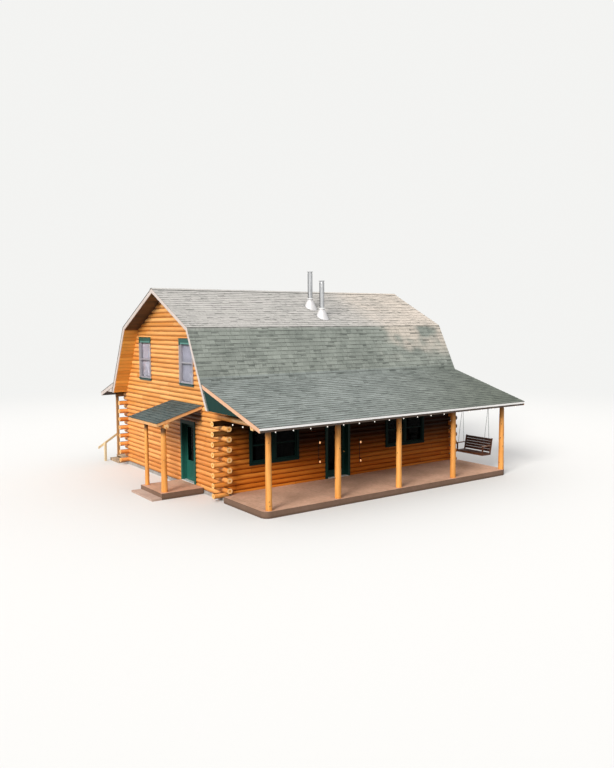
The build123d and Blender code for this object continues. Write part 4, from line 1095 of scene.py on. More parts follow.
@dataclass(frozen=True)
class Concrete(Finish):
    """Broom-swept concrete with mottling, pores, and edges darkened by soiling and painted shade."""

    pale: Colour
    dark: Colour
    joints: float = 0.0
    # Amount of edge darkening: soiling and painted shade.
    stain_and_painted_shading: float = 0.0

    def look(self, s: Shade) -> Inputs:
        """Blotches at two scales, pores, faint broom lines, saw-cut joints, and edges darkened by
        soiling and painted shade.

        Args:
            s: Nodes of the material.

        Returns:
            The shader's inputs.
        """
        place = s.place()
        x, _, z = s.split(place)
        broad, small = s.noise(place, 0.8, 5.0, 0.65), s.noise(place, 9.0, 4.0, 0.6)
        value = s.plus(s.times(broad, 0.7), s.times(small, 0.4))
        pores = s.ramp(s.noise(place, 130.0, 2.0), 0.70, 0.80)
        colour = s.mix(s.ramp(value, 0.35, 0.75), self.dark, self.pale)
        colour = s.mix(s.times(pores, 0.6), colour, dim(self.dark, 0.4))
        broom = s.noise(s.stretch(place, (2.0, 160.0, 2.0)), 1.0, 2.0)
        height = s.minus(s.times(broom, 0.5), pores)
        if self.joints:
            cut = s.use(s.effects.planks, Across=x, Width=self.joints, Gap=0.006).outputs["Groove"]
            colour = s.mix(s.times(cut, 0.7), colour, dim(self.dark, 0.3))
            height = s.minus(height, s.times(cut, 3.0))
        # Edges darker low down: soiling and painted shade.
        edge = s.ramp(s.size(s.facing()[2]), 0.7, 0.4)
        soil_and_shade = s.times(edge, s.ramp(z, 0.10, 0.02, 0.85 * self.stain_and_painted_shading, self.stain_and_painted_shading))
        return {"Base_Color": s.mix(soil_and_shade, colour, dim(self.dark, 0.20)), "Roughness": 0.85,
                "Normal": s.bump(height, 0.002, 0.5)}


@dataclass(frozen=True)
class Metal(Finish):
    """Sheet or cast metal with soft smears and scratches, and a painted dark reflection on its flanks
    where set.
    """

    colour: Colour
    rough: float = 0.3
    metallic: float = 1.0
    smear: float = 0.25
    # Painted dark reflection on the flanks, which face across the camera's view.
    flanks: float = 0.0
    flank_axis: Pair = (0.814, -0.580)

    def look(self, s: Shade) -> Inputs:
        """Plain metal whose roughness and colour vary.

        Args:
            s: Nodes of the material.

        Returns:
            The shader's inputs.
        """
        place = s.place()
        cloud = s.noise(place, 7.0, 4.0, 0.65)
        fine = s.noise(s.stretch(place, (60.0, 60.0, 8.0)), 2.0, 2.0)
        colour = s.mix(s.times(cloud, self.smear * 2), self.colour, dim(self.colour, 0.6))
        # Painted dark reflection on the flanks.
        if self.flanks:
            x, y = (s.times(n, k) for n, k in zip(s.facing(), self.flank_axis))
            painted_flank_reflection = s.times(s.ramp(s.size(s.plus(x, y)), 0.35, 0.92), self.flanks)
            colour = s.mix(painted_flank_reflection, colour, dim(self.colour, 0.22))
        rough = s.ramp(cloud, 0.2, 0.8, max(self.rough - 0.1, 0.05), self.rough + 0.15)
        return {"Base_Color": colour, "Metallic": self.metallic, "Roughness": rough,
                "Normal": s.bump(fine, 0.0006, 0.25)}


@dataclass(frozen=True)
class Flashing(Metal):
    """Boot flashing: a pale cone on a plate as grey as the roof round it."""

    plate: Colour = (0.30, 0.30, 0.285)
    dull: Colour = (0.35, 0.34, 0.33)

    def look(self, s: Shade) -> Inputs:
        """Pale metal, grey where the surface lies along the roof.

        Args:
            s: Nodes of the material.

        Returns:
            The shader's inputs.
        """
        cloud = s.noise(s.place(), 7.0, 4.0, 0.65)
        colour = s.mix(s.ramp(s.facing()[2], 0.75, 0.85), self.colour, self.plate)
        rough = s.ramp(cloud, 0.2, 0.8, self.rough, self.rough + 0.2)
        return {"Base_Color": s.mix(s.times(cloud, 0.3), colour, self.dull), "Roughness": rough,
                "Metallic": self.metallic, "Normal": s.bump(cloud, 0.004, 0.3)}


@dataclass(frozen=True)
class Glass(Finish):
    """Window glass: tinted dark on the ground floor as painted shade, and clear on the upper one."""

    # Near black of the painted shade in the ground floor's glass.
    dark: Colour = (0.020, 0.030, 0.042)
    clear: Colour = (0.93, 0.93, 0.96)
    haze: Colour = (0.3, 0.3, 0.3)
    upper: float = 3.2
    bend: float = 1.14

    def tone(self, s: Shade) -> Socket:
        """Tint by height: painted shade on the ground floor."""
        high = s.math("GREATER_THAN", s.split(s.place())[2], self.upper)
        return s.mix(high, self.dark, self.clear)

    def look(self, s: Shade) -> Inputs:
        """Glass with faint ripples and smears.

        Args:
            s: Nodes of the material.

        Returns:
            The shader's inputs.
        """
        ripple = s.noise(s.place(), 2.2, 2.0)
        smear = s.noise(s.stretch(s.place(), (3.0, 3.0, 1.0)), 3.0, 4.0)
        return {"Base_Color": s.mix(s.ramp(smear, 0.3, 0.8, 0.0, 0.12), self.tone(s), self.haze),
                "Roughness": s.ramp(smear, 0.4, 0.9, 0.02, 0.08), "Transmission_Weight": 1.0,
                "IOR": self.bend, "Normal": s.bump(ripple, 0.01, 0.12)}

    def dress(self, effects: Effects) -> Material:
        """Let lamp light through the glass into the rooms.

        Args:
            effects: Shared shader groups.

        Returns:
            The material.
        """
        material = super().dress(effects)
        s = Shade(material.node_tree, effects)
        through = s.give("ShaderNodeBsdfTransparent", {"Color": self.tone(s)})
        shadow_ray = s.node("ShaderNodeLightPath").outputs["Is Shadow Ray"]
        blend = s.blend(shadow_ray, s.find("BSDF_PRINCIPLED").outputs[0], through)
        s.feed(s.find("OUTPUT_MATERIAL").inputs["Surface"], blend)
        return material


@dataclass(frozen=True)
class Cloth(Finish):
    """Pale woven curtain cloth."""

    colour: Colour

    def look(self, s: Shade) -> Inputs:
        """Fine weave in colour and bump.

        Args:
            s: Nodes of the material.

        Returns:
            The shader's inputs.
        """
        weave = s.noise(s.stretch(s.place(), (900.0, 900.0, 260.0)), 1.0, 1.0)
        return {"Base_Color": s.mix(s.times(weave, 0.35), self.colour, dim(self.colour, 0.7)),
                "Roughness": 0.9, "Normal": s.bump(weave, 0.0006, 0.4), "Sheen_Weight": 0.3}


@dataclass(frozen=True)
class Glow(Finish):
    """Lit bulb or lamp glass."""

    colour: Colour
    strength: float

    def look(self, s: Shade) -> Inputs:
        """Frosted glass that gives light, a little uneven.

        Args:
            s: Nodes of the material.

        Returns:
            The shader's inputs.
        """
        haze = s.noise(s.place(), 60.0, 2.0)
        colour = s.mix(s.times(haze, 0.3), self.colour, dim(self.colour, 0.8))
        return {"Base_Color": colour, "Roughness": 0.35, "Emission_Color": colour,
                "Emission_Strength": self.strength}


# Greens with painted shade under the porch roofs.
DOOR_GREEN = Paint("door green", (0.020, 0.142, 0.110), (0.009, 0.056, 0.044), 0.4, porch_shade=0.92,
                   gloss=0.2, foot_shade=0.75, hood=0.85)
WINDOW_GREEN = Paint("window green", (0.012, 0.085, 0.070), (0.005, 0.034, 0.029), 0.5,
                     porch_shade=0.95, gloss=0.1, foot_shade=0.85)


# Sub-assemblies


@dataclass
class Slope:
    """Straight roof slope in the YZ plane, from its lower to its upper edge, between two X."""

    low: Pair
    high: Pair
    x0: float
    x1: float

    def length(self) -> float:
        """Length from edge to edge."""
        return math.hypot(self.high[0] - self.low[0], self.high[1] - self.low[1])

    def at(self, x: np.ndarray, run: np.ndarray, over: np.ndarray) -> np.ndarray:
        """Points a run up the slope from its lower edge and a height over its plane.

        Args:
            x: Places along the slope.
            run: Distances up it.
            over: Heights over it.

        Returns:
            The points.
        """
        y0, z0 = self.low
        up_y, up_z = (self.high[0] - y0) / self.length(), (self.high[1] - z0) / self.length()
        out_y, out_z = (-up_z, up_y) if up_y > 0 else (up_z, -up_y)
        y, z = y0 + run * up_y + over * out_y, z0 + run * up_z + over * out_z
        return np.stack(np.broadcast_arrays(x, y, z), -1)


@dataclass
class Shingles:
    """Courses of asphalt tabs laid over each roof's sheet."""

    effects: Effects
    exposure: float = 0.166
    tab: float = 0.27
    lap: float = 0.035
    gap: float = 0.003
    butt: float = 0.0105
    tail: float = 0.0035
    bed: float = 0.0165
    sheet_back: float = 0.0197
    double: float = 0.0045
    doubled: float = 0.45
    dashes: float = 0.24
    dash: float = 1.75
    cap_length: float = 0.146
    cap_reach: float = 0.135
    cap_thick: float = 0.006
    cap_lap: float = 0.03
    cap_flat: float = 0.02
    cap_sink: float = 0.004
    cap_lifts: Pair = (0.0085, 0.0030)
    eave_reach: float = 0.039
    wall_gap: float = 0.004

    def courses(self, stock: Stock, slope: Slope, rng: np.random.Generator) -> None:
        """Lay tabs on a slope.

        Tab j of course i is a wedge between two X. Its lower edge stands a butt's
        thickness over the bed, and its upper edge lies under the next course.

        Args:
            stock: Piece that the tabs go to.
            slope: Slope whose plane is the roof's outer surface.
            rng: Source of the tabs' widths and tones.
        """
        rows = max(int(round(slope.length() / self.exposure)), 1)
        step = slope.length() / rows
        cols = int(round((slope.x1 - slope.x0) / self.tab))
        widths = rng.uniform(0.55, 1.5, (rows, cols))
        edges = np.cumsum(widths, axis=1) / widths.sum(axis=1, keepdims=True)
        edges = np.insert(edges, 0, 0.0, axis=1) * (slope.x1 - slope.x0) + slope.x0
        left, right = edges[:, :-1] + self.gap / 2, edges[:, 1:] - self.gap / 2
        thick = np.where(rng.random((rows, cols)) < self.doubled, self.double, 0.0)
        low = np.broadcast_to((np.arange(rows) * step)[:, None], left.shape)
        high = np.minimum(low + step + self.lap, slope.length())
        base = np.full_like(left, -self.bed)
        top_low, top_high = -self.bed + self.butt + thick, np.full_like(left, -self.bed + self.tail)
        corners = [
            (left, low, base), (right, low, base), (right, high, base), (left, high, base),
            (left, low, top_low), (right, low, top_low),
            (right, high, top_high), (left, high, top_high),
        ]
        points = np.stack([slope.at(*corner) for corner in corners], axis=2).reshape(-1, 8, 3)
        tone = np.clip(rng.normal(0.5, 0.08, (rows, cols)), 0.0, 1.0)
        dash = np.where(rng.random((rows, cols)) < self.dashes, self.dash, 1.0)
        lap = dash.reshape(-1, 1) * np.array([0, 0, 1, 1, 0, 0, 1, 1.0])
        stock.add(points, [BOX], tone.reshape(-1), lap)

    def sheet(self, stock: Stock, slope: Slope) -> None:
        """Thin closed sheet under the tabs, which shows at the slope's edges.

        Args:
            stock: Piece that it goes to.
            slope: Slope that it lies on.
        """
        x = np.array([slope.x0, slope.x1, slope.x1, slope.x0] * 2)
        run = np.array([0, 0, 1, 1] * 2) * slope.length()
        over = np.repeat([-self.sheet_back, -self.bed], 4)
        stock.add(slope.at(x, run, over), [BOX], 0.3)

    def ridge_caps(self, stock: Stock, reach: float, height: float, fall: float,
                   rng: np.random.Generator) -> None:
        """Folded caps along the ridge.

        Each cap is a sheet that drops on both sides of the ridge with the roof's slope,
        its near end standing over the one before.

        Args:
            stock: Piece that the caps go to.
            reach: Distance of the ridge's ends from the middle.
            height: Ridge's height.
            fall: Fall for each metre away from the ridge.
            rng: Source of the tones.
        """
        count = int(round(2 * reach / self.cap_length))
        pitch = 2 * reach / count
        starts = -reach + np.arange(count) * 2 * reach / count
        across = np.array([-1.0, -0.45, -0.12, 0.12, 0.45, 1.0]) * self.cap_reach
        drop = np.maximum(np.abs(across) - self.cap_flat, 0.0) * fall + self.cap_sink
        near, far = self.cap_lifts
        ends = ((0.0, near, 0.0), (pitch + self.cap_lap, far, 0.0),
                (pitch + self.cap_lap, far, -self.cap_thick), (0.0, near, -self.cap_thick))
        rows = [
            np.broadcast_arrays(starts[:, None] + along, across, height - drop + lift + thick)
            for along, lift, thick in ends
        ]
        grid = np.stack([np.stack(row, -1) for row in rows], axis=1)
        grid[..., 0] = np.minimum(grid[..., 0], reach)
        size = len(across)
        end = np.arange(4)[None] * size
        faces = [grid_quads(4, size, wrap_rows=True), end, end[:, ::-1] + size - 1]
        stock.add(grid.reshape(count, 4 * size, 3), faces, rng.uniform(0.2, 0.8, count))

    def lean(self, degrees: float, reach: float, eave: float) -> tuple[Pair, Pair]:
        """Edges of a lean-to roof's top, which ends where it meets the steep main slope.

        Args:
            degrees: Slope.
            reach: Distance of the eave from the wall.
            eave: Height of the eave.

        Returns:
            Lower and upper edge, as (distance in front of the wall, z).
        """
        rise = math.tan(math.radians(degrees))
        steep = SHELL.break_rise / (SHELL.break_in + SHELL.eave_out)
        wall = eave + reach * rise
        meet = (wall - SHELL.loft - steep * SHELL.eave_out) / (steep - rise)
        low = (reach + self.eave_reach, eave - self.eave_reach * rise)
        return low, (-meet + self.wall_gap, wall + rise * (meet - self.wall_gap))

    def build(self) -> None:
        """Lay the main, porch, rear and side roofs."""
        # The last colour is the painted sky glare of the upper slopes.
        finish = Asphalt("shingles grey green", (0.135, 0.155, 0.138), (0.345, 0.375, 0.335),
                         (0.52, 0.50, 0.475))
        material = finish.dress(self.effects)
        x1 = SHELL.right + SHELL.overhang
        main = Stock()
        rng = np.random.default_rng(11)
        eave = (-SHELL.back - SHELL.eave_out, SHELL.loft)
        bend = (-SHELL.back + SHELL.break_in, SHELL.loft + SHELL.break_rise)
        ridge = (0.0, SHELL.loft + SHELL.break_rise + SHELL.ridge_rise)
        for side in (1.0, -1.0):
            for low, high in ((eave, bend), (bend, ridge)):
                slope = Slope((low[0] * side, low[1]), (high[0] * side, high[1]), -x1, x1)
                self.sheet(main, slope)
                self.courses(main, slope, rng)
        fall = SHELL.ridge_rise / (SHELL.back - SHELL.break_in)
        self.ridge_caps(main, x1, ridge[1], fall, rng)
        main.build("roof_shingle_courses", material, "shingles", ("main_roof_shingles",))
        for name, node, side, sizes in (
            ("porch_shingle_courses", "porch_roof_shingles", 1.0, (16.6, 3.25, 2.935)),
            ("rear_shingle_courses", "rear_porch_shingles", -1.0, (18.8, 1.351, 3.055)),
        ):
            low, high = (((-SHELL.back - out) * side, z) for out, z in self.lean(*sizes))
            slope = Slope(low, high, -x1, x1)
            stock = Stock()
            self.sheet(stock, slope)
            self.courses(stock, slope, rng)
            stock.build(name, material, "shingles", (node,))
        self.build_side(rng)

    def build_side(self, rng: np.random.Generator) -> None:
        """Lay the side porch's roof: the same courses turned to face -X.

        Args:
            rng: Source of the tabs' widths and tones.
        """
        finish = Asphalt("shingles side porch", (0.030, 0.055, 0.056), (0.140, 0.180, 0.176),
                         (0.5, 0.5, 0.5), 9.0)
        rise = math.tan(math.radians(16.1))
        slope = Slope((-1.756, 2.644), (-0.0003, 2.644 + 1.7557 * rise), 1.43, 3.93)
        stock = Stock()
        self.sheet(stock, slope)
        self.courses(stock, slope, rng)
        stock.points = [
            np.stack([-SHELL.right + p[:, 1], p[:, 0] - SHELL.back, p[:, 2]], axis=-1)
            for p in stock.points
        ]
        stock.faces = [face[::-1] for face in stock.faces]
        stock.build("side_shingle_courses", finish.dress(self.effects), "shingles",
                    ("side_porch_shingles",))


@dataclass
class Posts:
    """Peeled log posts of the front and the side porch."""

    effects: Effects
    sides: int = 40
    stations: int = 90
    knots: int = 9
    knot_width: float = 0.030
    knot_height: float = 0.042
    front_line: float = 2.665
    front_radii: Pair = (0.113, 0.093)
    side_line: float = 1.42
    side_posts: tuple[Point, ...] = ((-2.645, 0.111, 0.095), (-1.185, 0.082, 0.068))

    def post(self, x: float, y: float, low: float, high: float, foot: float, top: float,
             rng: np.random.Generator) -> tuple[np.ndarray, np.ndarray]:
        """Points of one post.

        Radius at angle a and height z: the taper, plus slow waves round and along, plus a
        smooth bump for each knot, exp(-(d/w)^2) of the distance d on the surface.

        Args:
            x: Centre.
            y: Centre.
            low: Foot's height.
            high: Top's height.
            foot: Radius at the foot.
            top: Radius at the top.
            rng: Source of the waves and knots.

        Returns:
            The post's points, and how near each is to the heart of a knot, from 0 to 1.
        """
        angle = np.linspace(0, 2 * np.pi, self.sides, endpoint=False)[None, :]
        share = np.linspace(0, 1, self.stations)[:, None]
        z = low + share * (high - low)
        radius = foot + (top - foot) * share - 0.004
        phase = rng.uniform(0, 2 * np.pi, 6)
        heart = np.zeros((self.stations, self.sides))
        radius = (radius + 0.0022 * np.sin(2 * angle + phase[0] + 2.0 * share)
                  + 0.0016 * np.sin(3 * angle + phase[1]))
        radius = (radius + 0.0018 * np.sin(9.0 * share + phase[2])
                  + 0.0012 * np.sin(21.0 * share + angle + phase[3]))
        for _ in range(self.knots):
            at, height = rng.uniform(0, 2 * np.pi), rng.uniform(0.06, 0.95)
            turn = (angle - at + np.pi) % (2 * np.pi) - np.pi
            rise = (share - height) * (high - low)
            reach = (turn * foot / self.knot_width) ** 2 + (rise / self.knot_height) ** 2
            radius = radius + rng.uniform(0.004, 0.011) * np.exp(-reach)
            heart = np.maximum(heart, np.exp(-2.5 * reach))
        soft = np.minimum(np.minimum(share, 1 - share) * (high - low) / 0.012, 1.0)
        radius = radius - 0.006 * (1 - soft) ** 2
        points = np.broadcast_arrays(x + radius * np.cos(angle), y + radius * np.sin(angle), z)
        return np.stack(points, -1).reshape(-1, 3), heart.reshape(-1)

    def build(self) -> None:
        """Stand the posts where the plain ones are."""
        rng = np.random.default_rng(5)
        faces = tube_faces(self.stations, self.sides)
        low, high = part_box("porch_posts")
        pitch = (2 * SHELL.right - 0.115) / 4
        stock = Stock()
        for step in range(5):
            x, y = -SHELL.right + 0.11 + pitch * step, -SHELL.back - self.front_line
            points, heart = self.post(x, y, low.z, high.z, *self.front_radii, rng)
            stock.add(points, faces, rng.uniform(0.35, 0.75), heart)
        # The posts' tops carry painted shade of the porch roof.
        wood = PeeledWood("peeled post logs", Along.Z, crown=(2.44, 2.80)).dress(self.effects)
        stock.build("porch_log_posts", wood, "post_logs", ("porch_posts",), 50.0)
        low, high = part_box("side_porch_posts")
        stock = Stock()
        for y, foot, top in self.side_posts:
            x = -SHELL.right - self.side_line
            points, heart = self.post(x, y, low.z, high.z, foot, top, rng)
            stock.add(points, faces, rng.uniform(0.5, 0.8), heart)
        # The side posts' tops carry painted shade of their roof.
        wood = PeeledWood("peeled side posts", Along.Z, crown=(high.z - 0.32, high.z - 0.10))
        stock.build("side_log_posts", wood.dress(self.effects), "post_logs",
                    ("side_porch_posts",), 50.0)


@dataclass
class Opening:
    """One window or doorway in its wall."""

    name: str
    wall: Wall
    start: float
    width: float
    foot: float
    head: float
    twin: bool = False

    def height(self) -> float:
        """Height of the opening."""
        return self.head - self.foot

    def add(self, stock: Stock, shape: Shape, tone: float = 0.5) -> None:
        """Put a shape drawn at the origin and facing -Y into the wall, as a part of a piece."""
        stock.add(self.wall.place(shape[0], self.start, self.width, self.foot), shape[1], tone)


@dataclass
class Windows:
    """Sashes, mullions, catches, sills and head boards, and the loft's curtains and rods."""

    effects: Effects
    sash: float = 0.050
    jamb: float = 0.036
    gap: float = 0.001
    soft: float = 0.004
    mullion: float = 0.095
    head_board: float = 0.072
    frame_depths: tuple[Pair, ...] = ((0.006, 0.0435), (0.0545, 0.080))
    rail_depths: tuple[Pair, ...] = ((0.010, 0.0435), (0.0545, 0.078))
    mullion_depths: tuple[Pair, ...] = ((-0.012, 0.0435), (0.0545, 0.12))
    curtain_depth: float = 0.108
    curtain_edge: float = 0.045
    fold: float = 0.010
    folds: int = 11

    def openings(self) -> list[Opening]:
        """Every window of the cabin.

        Returns:
            The twin windows of the ground floor, then the single ones of the loft.
        """
        courses = (6, 13, 21, 30)
        sill, head, low, high = (SHELL.foundation + count * SHELL.course for count in courses)
        rows = []
        for number, start in enumerate((1.090, 7.335)):
            for wall in (Wall.FRONT, Wall.BACK):
                name = f"{wall.name.lower()}_{number}"
                rows.append(Opening(name, wall, start, 1.95, sill, head, True))
        rows.append(Opening("right_0", Wall.RIGHT, 3.29, 1.95, sill, head, True))
        for number, start in enumerate((2.12, 5.82)):
            for wall in (Wall.LEFT, Wall.RIGHT):
                name = f"loft_{wall.name.lower()}_{number}"
                rows.append(Opening(name, wall, start, 1.07, low, high))
        return rows

    def sashes(self, window: Opening, stock: Stock) -> None:
        """Frames of the lights and their meeting rails, in front of and behind the glass.

        Args:
            window: The window.
            stock: Piece that they go to.
        """
        x0, x1 = self.jamb + self.gap, window.width - self.jamb - self.gap
        z0, z1 = self.jamb + self.gap, window.height() - self.jamb - self.gap
        middle, half = (z0 + z1) / 2, window.width / 2
        left_post, right_post = half - self.mullion / 2, half + self.mullion / 2
        for left, right in [(x0, left_post), (right_post, x1)] if window.twin else [(x0, x1)]:
            for y0, y1 in self.frame_depths:
                section = bar_section(self.sash, y0, y1, 0.005)
                window.add(stock, ring_frame(left, right, z0, z1, section))
            for y0, y1 in self.rail_depths:
                low, high = (left + 0.02, y0, middle - 0.024), (right - 0.02, y1, middle + 0.024)
                window.add(stock, blocks(low, high, self.soft))
            centre = left / 2 + right / 2
            low = (centre - 0.035, -0.002, middle - 0.006)
            high = (centre + 0.035, 0.011, middle + 0.020)
            window.add(stock, blocks(low, high, self.soft), 0.1)
        if window.twin:
            for y0, y1 in self.mullion_depths:
                high = (right_post, y1, window.height() - self.jamb)
                window.add(stock, blocks((left_post, y0, self.jamb), high, self.soft))

    def sills(self, window: Opening, stock: Stock) -> None:
        """Sill under the sashes and a thin drip cap over the head casing.

        Args:
            window: The window.
            stock: Piece that they go to.
        """
        side = (0.07 if window.twin else 0.025) + 0.012
        top = window.height()
        for z0, z1, out in ((0.006, 0.034, 0.052), (top + 0.097, top + 0.113, 0.044)):
            high = (window.width + side, 0.004, z1)
            window.add(stock, blocks((-side, -out, z0), high, self.soft))

    def head(self, window: Opening, stock: Stock) -> None:
        """Pale teal head board over a loft window's panes.

        Args:
            window: The window.
            stock: Piece that it goes to.
        """
        top = window.height() - self.jamb - self.gap
        low = (self.jamb + self.gap, -0.004, top - self.head_board)
        high = (window.width - self.jamb - self.gap, 0.012, top)
        window.add(stock, blocks(low, high, 0.003))

    def rod(self, window: Opening, stock: Stock) -> None:
        """Curtain rod from jamb to jamb: a lathed bar with a knob at each end.

        Args:
            window: The window.
            stock: Piece that it goes to.
        """
        length = window.width - 2 * self.jamb
        knob = np.array([[0.003, 0.0], [0.012, 0.001], [0.014, 0.007],
                         [0.012, 0.013], [0.006, 0.016]])
        far = knob[::-1] * (1.0, -1.0) + (0.0, length)
        points, faces = lathe(np.concatenate([knob, far]), 12)
        place = (self.jamb, self.curtain_depth, window.height() - self.jamb - 0.03)
        window.add(stock, (points[:, [2, 0, 1]] + place, faces))

    def curtain(self, window: Opening, material: Material) -> None:
        """Curtain behind a loft window.

        Its depth is a sine of the distance across, with a slow swell, so it hangs in even
        folds from head to sill.

        Args:
            window: The window that it hangs in.
            material: Cloth.
        """
        cols, rows = 133, 12
        edge = self.curtain_edge
        x = np.linspace(0.042, window.width - 0.042, cols)[None, :]
        z = np.linspace(edge, window.height() - edge, rows)[:, None]
        phase = 2 * np.pi * self.folds * x / window.width
        y = self.curtain_depth + self.fold * np.sin(phase) + 0.003 * np.sin(phase * 0.37 + 1.0)
        points = np.stack(np.broadcast_arrays(x, y, z), -1).reshape(-1, 3)
        points = window.wall.place(points, window.start, window.width, window.foot)
        mesh = bpy.data.meshes.new(f"curtain_{window.name}")
        quads = grid_quads(rows, cols)
        mesh.from_pydata(points.tolist(), [], quads.tolist())
        mesh.polygons.foreach_set("use_smooth", np.ones(len(quads), dtype=bool))
        mesh.materials.append(material)
        piece = add_object(mesh.name, mesh)
        piece.modifiers.new("cloth", "SOLIDIFY").thickness = 0.0012
        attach(piece, "cabin")
        LOG.info("%s: %d faces on cabin", mesh.name, len(quads))

    def build(self) -> None:
        """Build and dress every window."""
        pale = Paint("loft sash paint", (0.36, 0.345, 0.38), (0.28, 0.27, 0.30)).dress(self.effects)
        teal = Paint("loft head teal", (0.12, 0.32, 0.28), (0.07, 0.20, 0.17)).dress(self.effects)
        green = WINDOW_GREEN.dress(self.effects)
        iron = Metal("curtain rod metal", (0.30, 0.28, 0.25), 0.4).dress(self.effects)
        cloth = Cloth("curtain cloth", (0.28, 0.27, 0.30)).dress(self.effects)
        deep = Cloth("deeper curtain cloth", (0.215, 0.22, 0.255)).dress(self.effects)
        ground, loft, trim, rods, heads = Stock(), Stock(), Stock(), Stock(), Stock()
        for window in self.openings():
            self.sashes(window, ground if window.twin else loft)
            self.sills(window, trim)
            if not window.twin:
                self.head(window, heads)
                self.rod(window, rods)
                self.curtain(window, deep if window.start < 4.0 else cloth)
        ground.build("ground_sashes", green, "green_paint")
        loft.build("loft_sashes", pale, "pale_trim")
        trim.build("window_sills", green, "green_paint")
        heads.build("loft_head_boards", teal, "green_paint")
        rods.build("curtain_rods", iron, "brass", smooth=40.0)


@dataclass
class Doors:
    """Mouldings, panels and thresholds of the three doors."""

    effects: Effects
    width: float = 1.03
    head: float = 2.39
    leaf_left: float = 0.0435
    leaf_right: float = 0.9865
    leaf_foot: float = 0.125
    leaf_head: float = 2.2315
    outer: float = 0.155
    inner: float = 0.2
    rail: float = 0.125
    moulding: float = 0.022
    raised: float = 0.010

    def dress_leaf(self, door: Opening, sill: float, body: str, paint: Material) -> None:
        """Mouldings round the glass, and raised panels under it where there is room.

        Args:
            door: Doorway that it stands in.
            sill: Glass above the leaf's foot.
            body: Body that the leaf moves with.
            paint: Material.
        """
        stock = Stock()
        z0, z1 = self.leaf_foot + sill, self.leaf_head - self.rail
        x0, x1 = self.leaf_left + self.rail, self.leaf_right - self.rail
        out = self.moulding
        section = bar_section(0.030, 0.0, 0.012, 0.004)
        middle = (x0 + x1) / 2
        for face, sign in ((self.outer, 1.0), (self.inner, -1.0)):
            turned = section * (1.0, sign)
            turned[:, 1] += face - sign * 0.0125
            door.add(stock, ring_frame(x0 - out, x1 + out, z0 - out, z1 + out, turned))
            if sill > 0.5:
                back, front = sorted((face, face - sign * self.raised))
                for left, right in ((x0, middle - 0.03), (middle + 0.03, x1)):
                    low, high = self.leaf_foot + 0.16, z0 - 0.11
                    door.add(stock, blocks((left, back, low), (right, front, high), 0.005))
        stock.build(f"{door.name}_mouldings", paint, "green_paint", body=body)

    def threshold(self, door: Opening, metal: Material) -> None:
        """Bright sill with a rounded nose across the doorway's foot: a profile carried along X.

        Args:
            door: Doorway that it lies in.
            metal: Material.
        """
        nose = np.array([[-0.052, 0.001], [-0.058, 0.006], [-0.056, 0.014], [-0.046, 0.019],
                         [0.03, 0.0165], [0.14, 0.0150], [0.14, 0.001]]) + (0.0, 0.1055)
        stock = Stock()
        door.add(stock, carried(nose, 0.037, self.width - 0.037))
        stock.build(f"{door.name}_threshold", metal, "flashing")

    def build(self) -> None:
        """Build and dress the doors."""
        green = DOOR_GREEN.dress(self.effects)
        metal = Metal("threshold metal", (0.90, 0.89, 0.87), 0.4, 0.25).dress(self.effects)
        for name, wall, start, sill, body in (
            ("front_door", Wall.FRONT, 4.37, 0.24, "front_door"),
            ("side_door", Wall.LEFT, 2.105, 0.73, "side_door"),
            ("back_door", Wall.BACK, 4.97, 0.73, "cabin"),
        ):
            door = Opening(name, wall, start, self.width, SHELL.foundation, self.head)
            self.dress_leaf(door, sill, body, green)
            self.threshold(door, metal)


@dataclass
class Lanterns:
    """Two-tier lanterns on iron straps on both sides of the front door."""

    effects: Effects
    places: tuple[Point, ...] = ((-1.485, 1.63, 0.92), (0.455, 1.46, 0.75))
    out: float = 0.075
    bar: float = 0.0022
    bar_ring: float = 0.033

    def lantern(self, iron: Stock, glow: Stock, centre: Point) -> None:
        """One lantern: base, cap and finial turned about Z, four bars and a glass cylinder.

        Args:
            iron: Piece that the metal goes to.
            glow: Piece that the glass goes to.
            centre: Middle of the glass.
        """
        base = np.array([[0.004, -0.062], [0.020, -0.060], [0.036, -0.054], [0.036, -0.047],
                         [0.004, -0.046]])
        cap = np.array([[0.004, 0.040], [0.040, 0.040], [0.042, 0.045], [0.022, 0.066],
                        [0.008, 0.072], [0.010, 0.078], [0.006, 0.086], [0.002, 0.088]])
        glass = np.array([[0.004, -0.045], [0.019, -0.045], [0.022, -0.030], [0.022, 0.018],
                          [0.017, 0.034], [0.004, 0.0395]])
        for profile, stock in ((base, iron), (cap, iron), (glass, glow)):
            stock.put(lathe(profile, 20), centre)
        turn = np.pi / 4 + np.arange(4) * np.pi / 2
        ring = self.bar_ring
        bars = np.stack([ring * np.cos(turn), ring * np.sin(turn), np.zeros(4)], -1) + centre
        low, high = bars - (self.bar, self.bar, 0.047), bars + (self.bar, self.bar, 0.041)
        iron.put(blocks(low, high, 0.0006))

    def build(self) -> None:
        """Hang the lanterns on the wall."""
        iron, glow = Stock(), Stock()
        wall = -SHELL.back
        for x, high, low in self.places:
            strap = (x - 0.012, wall - 0.007, low - 0.08), (x + 0.012, wall - 0.001, high + 0.14)
            iron.put(blocks(*strap, 0.002))
            for z in (high, low):
                self.lantern(iron, glow, (x, wall - self.out, z))
                arm = (x - 0.005, wall - 0.079, z + 0.086), (x + 0.005, wall - 0.004, z + 0.095)
                iron.put(blocks(*arm, 0.002))
        dark = Metal("lantern iron", (0.035, 0.032, 0.030), 0.5, 0.8).dress(self.effects)
        lit = Glow("lantern glass", (1.0, 0.50, 0.22), 1.3).dress(self.effects)
        iron.build("door_lantern_iron", dark, "chain_steel", smooth=35.0)
        glow.build("door_lantern_glass", lit, "bulb_glass", smooth=50.0)


